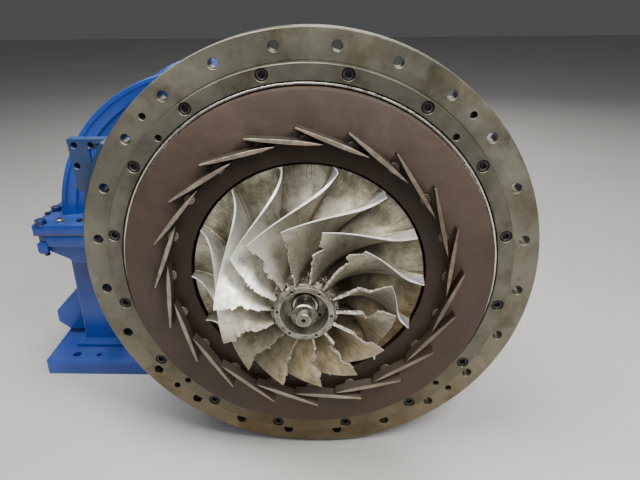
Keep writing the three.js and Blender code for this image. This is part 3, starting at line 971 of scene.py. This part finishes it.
def vane_shape(thickness):
    """A vane on its pivot disc and spindle, at the top of the circle, and each face's finish."""
    levels = [(VANE_FRONT, 0.7), (VANE_FRONT + 0.7, 0.0), (VANE_FOOT, 0.0)]
    loops = [[(x, y, z) for x, z in vane_section(thickness, inset)] for y, inset in levels]
    count = len(loops[0])
    points = spin([p for loop in loops for p in loop], VANE_SET_DEGREES)
    faces = [list(range(count))]
    kinds = [VANE_EDGE]
    for tier in range(len(levels) - 1):
        for j in range(count):
            k = (j + 1) % count
            faces.append([tier * count + j, tier * count + k, (tier + 1) * count + k, (tier + 1) * count + j])
            kinds.append(VANE_EDGE if tier == 0 else VANE_SIDE)
    faces.append([2 * count + j for j in reversed(range(count))])
    kinds.append(VANE_SIDE)
    disc = [
        (0, DISC_FRONT), (DISC_RADIUS - 0.7, DISC_FRONT), (DISC_RADIUS, DISC_FRONT + 0.7),
        (DISC_RADIUS, DISC_BACK), (0, DISC_BACK),
    ]
    disc = turned(disc, 40)
    spindle = rod(SPINDLE_RADIUS, DISC_BACK - 1, SPINDLE_BACK, steps=24)
    kinds += [VANE_DISC] * (len(disc[1]) + len(spindle[1]))
    return merged([(points, faces), disc, spindle]), kinds


class BLOWER_OT_vanes(bpy.types.Operator):
    """Twenty diffuser vanes, each on its round pivot disc"""
    bl_idname = "blower.vanes"
    bl_label = "Vanes"

    def execute(self, context):
        metal = tuple(colours().vane)
        # Lit and shaded copies of one metal: the sides darker as painted shade, the front edges lighter as a
        # painted highlight
        finishes = [
            vane_finish(metal, "vane_side_painted_shade", 0.42, 0.5, 4.0),
            vane_finish(metal, "vane_edge_painted_highlight", 1.6, 0.42),
            vane_finish(metal, "pivot_disc", 1.1, 0.5),
        ]
        (points, faces), kinds = vane_shape(in_mm(sizes().vane_thickness))
        for i in range(VANES):
            node = f"vane_{i + 1:02d}"
            turned_points = spin(points, 360 / VANES * i, VANE_CIRCLE)
            vane = raw(f"turned_{node}", (turned_points, faces), finishes, kinds)
            dress(vane, node, [node], 25)
        return {"FINISHED"}


# Impeller

# Where each leading edge broke, clockwise from the one at 66 degrees: (percent of the blade's height,
# millimetres that the metal is set back along the blade, less than zero where it still stands proud)
BREAKS = [
    [(0, -16), (17, -19), (58, -19), (67, 3), (75, -8), (100, -8)],
    [(0, -16), (17, -25), (45, -24), (58, -14), (67, -11), (75, -22), (83, -19), (92, 0), (100, 0)],
    [(0, -16), (17, -22), (50, -22), (58, 19), (67, 17), (83, 11), (100, 13)],
    [(0, -16), (17, -22), (42, -20), (50, 30), (58, 11), (67, -25), (75, -19), (100, -3)],
    [(0, -14), (34, -14), (42, -3), (50, 8), (67, 9), (75, -8), (100, 0)],
    [(0, -11), (25, -11), (33, 25), (42, 19), (50, 3), (67, 16), (75, -3), (100, 0)],
    [(0, -14), (20, -10), (33, 3), (42, 0), (58, 14), (67, -3), (100, 0)],
    [(0, -8), (17, 0), (42, 0), (58, 5), (67, -3), (100, 0)],
    [(0, -8), (17, -3), (42, -3), (67, 8), (75, 8), (83, 3), (100, 0)],
    [(0, -8), (33, -8), (50, 3), (58, 5), (75, -3), (100, 0)],
    [(0, -6), (25, -5), (42, 0), (54, 6), (67, 0), (100, 0)],
    [(0, -14), (25, -11), (42, -5), (58, 5), (75, 14), (100, 25)],
    [(0, -14), (17, -11), (42, -11), (50, -8), (58, 3), (67, 5), (83, 0), (100, 0)],
    [(0, -14), (17, -12), (42, -12), (58, -5), (67, -3), (75, -5), (100, -5)],
]


def hub_line(u):
    """Radius and depth of the hub, from the nose at 0 to the rim at 1."""
    a = u * np.pi / 2
    return HUB_START + HUB_REACH * (1 - np.cos(a)), HUB_FRONT + HUB_LENGTH * np.sin(a)


def edge_line(u):
    """Radius and depth of the blades' free edges."""
    a = u * np.pi / 2
    return EDGE_START + EDGE_REACH * (1 - np.cos(a)), EDGE_FRONT + EDGE_LENGTH * np.sin(a)


def blade_point(u, v):
    """Middle of the first blade's sheet, u along it and v from hub to free edge."""
    (hub_r, hub_y), (edge_r, edge_y) = hub_line(u), edge_line(u)
    rest = np.clip(1 - u, 0, None)
    hub_turn = (WRAP_DEGREES - HUB_LAG_DEGREES) * (1 - rest ** HUB_SWEEP)
    edge_turn = WRAP_DEGREES * (1 - 0.83 * rest ** 2.4 - 0.17 * rest)
    angle = np.radians(FIRST_TIP_DEGREES - WRAP_DEGREES + hub_turn + (edge_turn - hub_turn) * v)
    r = hub_r + (edge_r - hub_r) * v
    return np.stack([r * np.sin(angle), hub_y + (edge_y - hub_y) * v, r * np.cos(angle)], -1)


def blade_half(u, v, foot, start, swell, s):
    """Half thickness of a blade: thick at its root and where it is torn, with a fillet below."""
    root, fillet = in_mm(s.blade_root), in_mm(s.root_fillet)
    edge = np.interp(u, [0, 0.3, 0.6, 0.8, 0.92, 1], [0.55, 0.85, 1.25, 0.95, 0.55, 0.4])
    half = root + (in_mm(s.blade_edge) * edge - root) * np.clip(v, 0, 1)
    back = np.clip(u - start, 0, None)
    half = half + swell * np.exp(-back / 0.045)
    if foot < fillet:
        reach = fillet - max(foot, 0.0)
        flare = fillet - math.sqrt(max(fillet ** 2 - reach ** 2, 0))
        half = half + flare * np.interp(back, [0, 0.12], [0.1, 1])
    return half


def blade_rows(number, s):
    """Loops of points around a blade, from below its root up to the free edge."""
    rng = np.random.default_rng(BLADE_SEED + number)
    places, setbacks = np.array(BREAKS[number], float).T
    columns, upper = 44, 56
    chip_stations, swell_stations = np.arange(44), np.arange(15)
    fillet = in_mm(s.root_fillet)
    foot = [-5.0, 0.0, 0.5, 1.3, 2.4, 3.8, 5.2, fillet]
    along = np.linspace(0, 1, columns) ** 1.35
    ragged, uneven = rng.normal(0, 1.7, len(chip_stations)), rng.uniform(0.6, 1.4, len(swell_stations))

    def share(u, j):
        span = np.linalg.norm(blade_point(u, 1.0) - blade_point(u, 0.0), axis=-1)
        if j < len(foot):
            return foot[j] / span
        low = foot[-1] / span
        return low + (1 - low) * (j - len(foot) + 1) / upper

    rows = []
    for j in range(len(foot) + upper):
        v0 = float(np.clip(share(np.array(0.0), j), 0, 1))
        chips = np.interp(v0 * chip_stations[-1], chip_stations, ragged)
        chips *= np.interp(v0, [0, 0.15, 0.8, 0.9], [0.2, 1, 1, 0.15])
        start = s.tear_depth * (np.interp(v0 * 100, places, setbacks) + chips) / CHORD
        slant = np.interp(v0, [0, 0.3, 0.7, 1], [0.010, 0.022, 0.016, 0.003])
        swell = np.interp(v0, [0, 0.12, 0.35, 0.6, 0.85, 1], [-2.0, -0.4, 1.3, 1.2, 0.4, 0.0])
        swell *= np.interp(v0 * swell_stations[-1], swell_stations, uneven)
        sides = []
        for side, lag in ((1, 0.0), (-1, slant)):
            u = (start + lag) + (1 - start - lag) * along
            v = share(np.clip(u, 0, 1), j)
            along_u = blade_point(np.minimum(u + 0.005, 1), v) - blade_point(u - 0.005, v)
            along_v = blade_point(u, v + 0.01) - blade_point(u, v - 0.01)
            normal = np.cross(along_u, along_v)
            normal /= np.linalg.norm(normal, axis=1)[:, None]
            half = blade_half(u, v, foot[j] if j < len(foot) else fillet, start, swell, s)
            sides.append(blade_point(u, v) + side * half[:, None] * normal)
        front, back = sides
        chord = (front[1] - front[0]) / np.linalg.norm(front[1] - front[0])
        rough = np.interp(v0, [0.7, 0.9], [1, 0])
        lip = [front[0] + (back[0] - front[0]) * t + chord * rng.normal(0, 0.8) * rough for t in (0.67, 0.33)]
        rows.append(np.vstack([front, back[::-1], lip]))
    return rows, columns, len(foot)


CAST, TORN, EDGE, FLANK, NOSE = range(5)
BLADE_SEED, SCALE_SEED, CRUMB_SEED = 700, 43, 41


def blade_shape(number, s):
    """One blade as a closed mesh with fillets at its foot and a torn leading edge, and each face's finish."""
    rows, columns, foot_rows = blade_rows(number, s)
    count = len(rows[0])
    points = [tuple(p) for row in rows for p in row]
    faces, kinds = [], []
    for j in range(len(rows) - 1):
        for i in range(count):
            k = (i + 1) % count
            faces.append([j * count + i, j * count + k, (j + 1) * count + k, (j + 1) * count + i])
            kind = CAST
            if i >= 2 * columns - 1:
                kind = TORN
            elif i == columns - 1:
                kind = EDGE
            elif i >= columns and j >= foot_rows - 2:
                kind = FLANK
            kinds.append(kind)
    top = (len(rows) - 1) * count
    for base, kind in ((top, EDGE), (0, CAST)):
        for i in range(columns - 1):
            j = 2 * columns - 1 - i
            faces.append([base + i, base + i + 1, base + j - 1, base + j])
            kinds.append(kind)
        faces.append([base, base + 2 * columns - 1, base + 2 * columns, base + 2 * columns + 1])
        kinds.append(kind)
    return (spin(points, (number + 2) * 360 / BLADES), faces), kinds


def scaled_nose(points, rng):
    """Hub surface built up with lumpy scale next to the nose, mostly on its upper side."""
    lumpy = []
    for x, y, z in points:
        radius = math.hypot(x, z)
        near = np.interp(radius, [61, 66, 70, 76], [0, 1, 1, 0]) * (y < -100)
        lift = near * np.interp(z / radius, [-0.5, 0.6], [0.15, 1]) * rng.uniform(-0.4, 2.8)
        lumpy.append((x + x * lift / radius, y - lift, z + z * lift / radius))
    return lumpy


def crumbs(rng):
    """Rough lumps of scale around the nose, mostly on its upper side."""
    lumps = []
    pebble, faces = turned([(0, -1), (0.7, -0.7), (1, 0), (0.7, 0.7), (0, 1)], 6)
    for _ in range(CRUMBS):
        u = rng.uniform(-0.05, 0.12)
        radius, depth = hub_line(max(u, 0))
        if u < 0:
            radius, depth = 59.5, np.interp(u, [-0.05, 0], [-180, -171])
        x, z = around(radius + rng.uniform(-0.8, 0.6), rng.normal(4, 48))
        size = rng.uniform(0.7, 1.9)
        shaken = [tuple(np.array(p) * size * rng.uniform(0.6, 1.4, 3) + (x, depth, z)) for p in pebble]
        lumps.append((shaken, faces))
    return merged(lumps)


class BLOWER_OT_impeller(bpy.types.Operator):
    """Impeller: one casting of hub and 14 blades with torn leading edges"""
    bl_idname = "blower.impeller"
    bl_label = "Impeller"

    def execute(self, context):
        s = sizes()
        finishes = [
            cast_finish(tuple(colours().impeller), tinted(tuple(colours().flank), 0.62)),
            torn_finish(),
            edge_finish(),
            flank_finish(tuple(colours().flank)),
            nose_finish(),
        ]
        bore = 25.3
        profile = [
            (bore, -138), (27.5, -138), (27.5, CUP_FLOOR + 0.8), (28.3, CUP_FLOOR),
            (38, CUP_FLOOR), (42, CUP_FLOOR - 2),
            (CUP_RADIUS, NOSE_FRONT + 1), (CUP_RADIUS + 0.8, NOSE_FRONT), (NOSE_RADIUS - 0.8, NOSE_FRONT),
            (NOSE_RADIUS, NOSE_FRONT + 0.8), (NOSE_RADIUS + 1, -171),
        ]
        steps = 252
        nose_faces = steps * len(profile)
        profile += [hub_line(u) for u in [*np.linspace(0, 0.18, 14), *np.linspace(0.21, 0.965, 23)]]
        profile += [(RIM_RADIUS, -15.4), (RIM_RADIUS, -9), (RIM_RADIUS - 1, -8)]
        profile += [(150, 6), (64, 20), (60, 40), (bore, 40)]
        kinds = [NOSE] * nose_faces + [CAST] * (steps * len(profile) - nose_faces)
        points, faces = turned(profile, steps)
        points = scaled_nose(points, np.random.default_rng(SCALE_SEED))
        impeller = raw("impeller_casting", (points, faces), finishes, kinds)
        holes = [blind(2.6, NOSE_FRONT, -172, *around(53, 34.5 + 60 * i), 0.4, 20) for i in range(6)]
        holes += [blind(2.8, CUP_FLOOR, -140, *around(36.5, angle), 0.4, 20) for angle in (127, 146)]
        cut(impeller, merged(holes))
        for number in range(BLADES):
            shape, kinds = blade_shape(number, s)
            add(impeller, raw("blade", shape, finishes, kinds))
        nodes = ["impeller_hub"] + [f"impeller_blade_{i + 1:02d}" for i in range(BLADES)]
        dress(impeller, "rotor", nodes, 34)
        scale = raw("nose_scale", crumbs(np.random.default_rng(CRUMB_SEED)), [scale_finish()])
        dress(scale, "rotor", (), 60)
        return {"FINISHED"}


class BLOWER_OT_rotor_shaft(bpy.types.Operator):
    """Rotor shaft with collar and centre-drilled end"""
    bl_idname = "blower.rotor_shaft"
    bl_label = "Rotor shaft"

    def execute(self, context):
        profile = [
            (0, -201), (2.4, -203), (2.8, -206.4), (4.4, -209.4), (5.6, -209.6), (12.6, -210),
            (14.6, -208.4), (15.2, -206), (15.2, -191), (16, -189.6), (21.6, -189.6), (22.2, -192.6),
            (23.4, -194), (25, -191.6), (25, -184), (24, -182.4), (20, -181.8), (19.4, -181),
            (19.4, -153), (20.4, -151.6), (25, -151.4), (25, 40), (34, 40), (34, 495), (46, 495),
            (46, 605), (34, 605), (34, 748), (0, 748),
        ]
        bright, dull, dark = range(3)
        bands = [bright] * (len(profile) - 1)
        # Painted shade: the centre hole is near black
        bands[0:5] = [dark] * 3 + [dull] * 2
        bands[9:12] = [dull] * 3
        steps = 96
        finishes = [polished(), nose_finish(), painted_shade_finish()]
        shaft = raw("rotor_shaft", turned(profile, steps), finishes, np.repeat(bands, steps))
        dress(shaft, "rotor", ["pinion_shaft"])
        return {"FINISHED"}


# Casing

class BLOWER_OT_volute_wall(bpy.types.Operator):
    """Back wall of the volute and the neck behind it"""
    bl_idname = "blower.volute_wall"
    bl_label = "Back wall and neck"

    def execute(self, context):
        wall = [
            (39, 47), (79, 47), (80, 48), (80, FLANGE_BACK), (430, FLANGE_BACK),
            (430, WALL_BACK - 2), (428, WALL_BACK), (39, WALL_BACK),
        ]
        piece = raw("volute_wall", turned(wall, 240), [enamel(), painted_shade_finish()])
        # Painted shade: the wall's front, seen past the impeller's rim, is near black
        front = AXIS[1] + (FLANGE_BACK + 0.1) / 1000
        for face in piece.data.polygons:
            face.material_index = int(face.center.y < front)
        dress(piece, "frame", ["rear_wall"])
        neck = [
            (290, WALL_BACK), (330, WALL_BACK), (330, NECK_FLANGE_BACK - 2), (328, NECK_FLANGE_BACK),
            (304, NECK_FLANGE_BACK), (298, 127), (203, 241),
            (197, 249), (195, 258), (195, 366), (170, 366), (170, 236), (290, 122),
        ]
        shape = raw("neck_casting", turned(neck, 200), [enamel()])
        dress(shape, "frame", ["casing_neck"])
        inner = [(*around(316, 11.25 + 22.5 * i), NECK_FLANGE_BACK) for i in range(16)]
        outer = [(*around(395, 7.5 + 15 * i), WALL_BACK) for i in range(24) if not 3 <= i <= 5]
        heads = [facing_back(hex_head(18, 9, (14, 2.5), x, z), depth) for x, z, depth in inner + outer]
        dress(raw("neck_bolts", merged(heads), [bolt_enamel()]), "frame")
        return {"FINISHED"}


NECK_CUTTER = rod(196, 200, 366, steps=180)
SHAFT_CUTTER = rod(39, 200, 802, steps=72)
ENTRY_CUTTER = rod(50, 692, 812, *GEAR, 72)


class BLOWER_OT_upper_casing(bpy.types.Operator):
    """Upper half of the gear casing: drum, neck boss and split flange"""
    bl_idname = "blower.upper_casing"
    bl_label = "Upper casing"

    def execute(self, context):
        lip, front, back = DRUM_RADIUS, CASING_FRONT, CASING_BACK
        drum = [
            (0, front + 14), (388, front + 14), (391, front + 11), (394, front + 5), (397, front + 4),
            (417, front + 4), (420, front + 2), (422, front), (lip - 2, front), (lip, front + 2),
            (lip, front + 20), (lip - 2, front + 22), (424, front + 25), (420, front + 30),
            (420, back - 22), (424, back - 17), (lip - 2, back - 14), (lip, back - 12),
            (lip, back - 2), (lip - 2, back), (0, back),
        ]
        casing = raw("upper_gear_casing", turned(drum, 288, GEAR), [casing_enamel()])
        add(casing, turned([(0, front), (193, front), (195, front + 2), (195, back), (0, back)], 180))
        upper_half = block(-900, 600, 0, 1000, SPLIT, 600)
        combined(casing, upper_half, "INTERSECT")
        add(casing, rounded(block(CASING_LEFT, CASING_RIGHT, 288, back, SPLIT, SPLIT_TOP), 2.5))
        room = turned([(0, 386), (396, 386), (396, 732), (0, 732)], 180, GEAR)
        cut(casing, room, NECK_CUTTER, SHAFT_CUTTER, ENTRY_CUTTER)
        dress(casing, "frame", ["upper_casing"])
        return {"FINISHED"}


class BLOWER_OT_lower_casing(bpy.types.Operator):
    """Lower half of the gear casing with its pedestal"""
    bl_idname = "blower.lower_casing"
    bl_label = "Lower casing"

    def execute(self, context):
        back = CASING_BACK
        pedestal = block(-750, 220, 418, back, BASE_TOP, SPLIT - 10)
        casing = softened(raw("lower_gear_casing", pedestal, [casing_enamel()]), 8, 3)
        foot = block(-768, 238, 384, back, BASE_TOP, BASE_TOP + 13)
        flange = [
            (CASING_LEFT, 312), (-734, 290), (CASING_RIGHT, 290), (CASING_RIGHT, back), (CASING_LEFT, back),
        ]
        apron = [(-752, -70), (-752, -103), (-700, -128), (-690, -140), (200, -140), (200, -70)]
        boss = [(-771, -69), (-742, -69), (-742, -94), (-748, -100), (-765, -100), (-771, -94)]
        add(casing, rounded(foot, 2), rounded(level(flange, SPLIT - 34, SPLIT), 2.5))
        add(casing, rounded(slab(boss, 292, 332), 1.5), rounded(slab(apron, 318, 345), 3))
        room = turned([(0, 442), (330, 442), (330, 728), (0, 728)], 144, GEAR)
        cut(casing, room, NECK_CUTTER, ENTRY_CUTTER)
        dress(casing, "frame", ["lower_casing"])
        return {"FINISHED"}


class BLOWER_OT_base_plate(bpy.types.Operator):
    """Base plate with its foundation holes"""
    bl_idname = "blower.base_plate"
    bl_label = "Base plate"

    def execute(self, context):
        base = softened(raw("base_slab", block(-833, 480, 310, 800, FLOOR, BASE_TOP), [enamel()]), 2.5)
        holes = [(-749, 344, 12), (-679, 344, 8), (410, 344, 12), (-749, 775, 12), (410, 775, 12)]
        for x, y, radius in holes:
            hole = [(0, -10), (radius + 0.8, -10), (radius + 0.8, 0), (radius, 0.8), (radius, 60), (0, 60)]
            cut(base, upright(turned(hole, HOLE_STEPS), x, y, BASE_TOP))
        dress(base, "frame", ["base_plate"])
        return {"FINISHED"}


class BLOWER_OT_oil_pocket(bpy.types.Operator):
    """Oil pocket low on the left of the pedestal"""
    bl_idname = "blower.oil_pocket"
    bl_label = "Oil pocket"

    def execute(self, context):
        outline = [(-750, -283), (-850, -384), (-850, -424), (-815, -452), (-750, -452)]
        pocket = softened(raw("oil_box", slab(outline, 460, 690), [enamel()]), 4, 3)
        dress(pocket, "frame", ["oil_pocket"])
        return {"FINISHED"}


class BLOWER_OT_drive_bracket(bpy.types.Operator):
    """Bracket for the vane drive at the left of the ring"""
    bl_idname = "blower.drive_bracket"
    bl_label = "Drive bracket"

    def execute(self, context):
        angles = np.linspace(256, 301, 46)
        rib = [around(533, a) for a in angles] + [around(501, a) for a in angles[::-1]]
        bracket = softened(raw("vane_bracket", slab(rib, FLANGE_BACK, 142), [bracket_grime_and_shade()]), 1.5)
        plate = [
            (-556, 268), (-549, 142), (-515, 142), (-490, 180), (-505, 200), (-508, 242),
            (-488, 257), (-472, 257), (-462, 262), (-462, 268),
        ]
        add(bracket, rounded(slab(plate, 130, 142), 1.2), rounded(block(-556, -462, 130, 156, 258, 268), 1.5))
        spots = [(-540, 253), (-501, 253), (-541, 204)]
        for x, z in spots:
            add(bracket, turned([(0, 136), (13, 136), (13, 151), (11.5, 153), (0, 153)], HOLE_STEPS, (x, z)))
        for x, z in spots:
            cut(bracket, turned([(0, 120), (9.3, 129), (7.5, 131), (7.5, 149), (0, 151)], HOLE_STEPS, (x, z)))
        dress(bracket, "frame", ["drive_bracket"])
        return {"FINISHED"}


class BLOWER_OT_covers(bpy.types.Operator):
    """Covers at the back of the gear casing, with their bolts"""
    bl_idname = "blower.covers"
    bl_label = "Covers"

    def execute(self, context):
        back = CASING_BACK
        ring = [
            (45.5, back), (140, back), (140, back + 12), (138, back + 14), (66, back + 14),
            (62, back + 11), (48, back + 11), (45.5, back + 12.5),
        ]
        dress(raw("entry_cover", turned(ring, 96, GEAR), [enamel()]), "frame", ["input_cover"])
        cap = [
            (0, back), (34.5, back), (34.5, back - 17), (38.3, back - 17), (38.3, back), (92, back),
            (92, back + 14), (90, back + 16), (74, back + 16), (70, back + 20), (68, back + 28),
            (64, back + 30), (0, back + 30),
        ]
        dress(raw("pinion_lid", turned(cap, 96), [enamel()]), "frame", ["pinion_cover"])
        heads = []
        for i in range(8):
            x, z = around(122, 22.5 + 45 * i)
            heads.append(facing_back(hex_head(16, 8, (12, 2), x - GEAR[0], z + GEAR[1]), back + 14))
        for i in range(6):
            heads.append(facing_back(hex_head(10, 6, (8, 1.6), *around(82, 60 * i)), back + 16))
        dress(raw("cover_bolts", merged(heads), [bolt_enamel()]), "frame")
        return {"FINISHED"}


class BLOWER_OT_input_shaft(bpy.types.Operator):
    """Input shaft with the bull gear and its keyed end"""
    bl_idname = "blower.input_shaft"
    bl_label = "Input shaft"

    def execute(self, context):
        end = 889
        profile = [
            (0, 470), (45, 470), (45, 500), (238, 500), (238, 600), (45, 600), (45, 844), (43, 846),
            (40.5, 848), (40, 849), (40, end - 2), (38, end), (6, end), (3, end - 5), (0, end - 8),
        ]
        shaft = raw("drive_shaft", turned(profile, 96, GEAR), [polished()])
        keyway = block(GEAR[0] - 11, GEAR[0] + 11, 852, end - 5, GEAR[1] + 32, GEAR[1] + 60)
        cut(shaft, keyway)
        dress(shaft, "input_rotor", ["input_shaft"])
        return {"FINISHED"}


class BLOWER_OT_casing_bolts(bpy.types.Operator):
    """Bolts and dowel of the split flange"""
    bl_idname = "blower.casing_bolts"
    bl_label = "Casing bolts"

    def execute(self, context):
        spots = [(x, 300 + 101 * i) for x in (-751, 218) for i in range(5)]
        spots += [(x, 312) for x in (-590, -490, -390, -290, 120)]
        heads = [upright(hex_head(27, 12, (17, 1)), x, y, SPLIT_TOP) for x, y in spots]
        dress(raw("split_bolts", merged(heads), [bolt_enamel()]), "frame")
        plugs = [upright(rod(8, -5, 1, steps=24), x, y, SPLIT_TOP) for x, y in ((-765, 373), (-652, 322))]
        tip = upright(turned([(0, -1), (8, -1), (8, 8), (7, 9), (0, 9)], 24), -756, 311, -102)
        dress(raw("jack_screws", merged([*plugs, tip]), [black_oxide()]), "frame")
        pin = turned([(0, -7), (10, -7), (11.5, -5.5), (11.5, 1), (0, 1)], HOLE_STEPS)
        dress(raw("dowel_pin", upright(pin, -706, 322, SPLIT_TOP), [polished()]), "frame")
        return {"FINISHED"}


# Stage

CAMERA_SPOT = (0.2358, -1.5154, 1.1200)
CAMERA_AIM = (-0.0325, 0.9130, -0.4067)
CAMERA_SENSOR, CAMERA_LENS = 36, 33.28
CAMERA_ROLL_DEGREES = -0.667
FLOOR_CORNERS = [(-9, -6, 0), (9, -6, 0), (9, 11, 0), (-9, 11, 0)]
SKY_COLOUR, SKY_STRENGTH = (0.95, 0.97, 1.0), 0.08

# Name, place, size, power and colour of each soft panel
LAMP_AIM = (0.1, -0.35, 0.5)
LAMPS = [
    ("overhead", (-0.3, -1.0, 3.3), 1.5, 84, (1.0, 0.99, 0.96)),
    ("upper_left_panel", (-1.6, -0.6, 3.0), 1.1, 22, (1.0, 0.99, 0.95)),
    ("upper_right_panel", (1.5, -1.7, 2.8), 1.0, 86, (1.0, 0.99, 0.95)),
    ("front_panel", (0.2, -3.0, 2.6), 1.4, 24, (0.98, 0.99, 1.0)),
    ("rear_panel", (0.8, 3.0, 2.8), 2.2, 50, (1.0, 0.98, 0.95)),
]


class BLOWER_OT_stage(bpy.types.Operator):
    """Floor, lights and camera"""
    bl_idname = "blower.stage"
    bl_label = "Stage"

    def execute(self, context):
        scene = context.scene
        mesh = bpy.data.meshes.new("floor")
        mesh.from_pydata(FLOOR_CORNERS, [], [[0, 1, 2, 3]])
        mesh.materials.append(floor_finish())
        floor = bpy.data.objects.new("floor", mesh)
        scene.collection.objects.link(floor)
        world = bpy.data.worlds.new("studio")
        world.use_nodes = True
        sky = world.node_tree.nodes["Background"].inputs
        sky["Color"].default_value = (*SKY_COLOUR, 1)
        sky["Strength"].default_value = SKY_STRENGTH
        scene.world = world
        for name, spot, size, power, tint in LAMPS:
            light = bpy.data.lights.new(name, "AREA")
            light.size = size
            light.energy = power
            light.color = tint
            lamp = bpy.data.objects.new(name, light)
            lamp.location = spot
            lamp.rotation_euler = (Vector(LAMP_AIM) - Vector(spot)).to_track_quat("-Z", "Y").to_euler()
            scene.collection.objects.link(lamp)
        lens = bpy.data.cameras.new("camera")
        lens.sensor_width = CAMERA_SENSOR
        lens.lens = CAMERA_LENS
        camera = bpy.data.objects.new("camera", lens)
        turn = Vector(CAMERA_AIM).to_track_quat("-Z", "Y").to_matrix()
        turn = turn @ Matrix.Rotation(math.radians(CAMERA_ROLL_DEGREES), 3, "Z")
        camera.matrix_world = Matrix.Translation(CAMERA_SPOT) @ turn.to_4x4()
        scene.collection.objects.link(camera)
        scene.camera = camera
        return {"FINISHED"}


# Add-on

PIECES = [
    BLOWER_OT_stage,
    BLOWER_OT_bolting_ring,
    BLOWER_OT_clamp_ring,
    BLOWER_OT_lip_ring,
    BLOWER_OT_diffuser_plate,
    BLOWER_OT_vanes,
    BLOWER_OT_impeller,
    BLOWER_OT_rotor_shaft,
    BLOWER_OT_volute_wall,
    BLOWER_OT_upper_casing,
    BLOWER_OT_lower_casing,
    BLOWER_OT_base_plate,
    BLOWER_OT_oil_pocket,
    BLOWER_OT_drive_bracket,
    BLOWER_OT_covers,
    BLOWER_OT_input_shaft,
    BLOWER_OT_casing_bolts,
]


class BLOWER_PT_panel(bpy.types.Panel):
    """Lists the pieces of the blower head"""
    bl_idname = "BLOWER_PT_panel"
    bl_label = "Blower head"
    bl_space_type = "VIEW_3D"
    bl_region_type = "UI"
    bl_category = "Blower"

    def draw(self, context):
        for piece in PIECES:
            self.layout.operator(piece.bl_idname)
        for group in (context.scene.blower_sizes, context.scene.blower_colours):
            box = self.layout.box()
            for name in group.__annotations__:
                box.prop(group, name)


CLASSES = [BlowerSizes, BlowerColours, *PIECES, BLOWER_PT_panel]


def register():
    """Registers the classes and hangs the settings on the scene."""
    for part in CLASSES:
        bpy.utils.register_class(part)
    bpy.types.Scene.blower_sizes = PointerProperty(type=BlowerSizes)
    bpy.types.Scene.blower_colours = PointerProperty(type=BlowerColours)


def unregister():
    """Takes back what register did."""
    del bpy.types.Scene.blower_colours
    del bpy.types.Scene.blower_sizes
    for part in reversed(CLASSES):
        bpy.utils.unregister_class(part)


def main():
    """Builds every piece."""
    register()
    for piece in PIECES:
        build = getattr(bpy.ops.blower, piece.bl_idname.removeprefix("blower."))
        build()


if __name__ == "__main__":
    main()
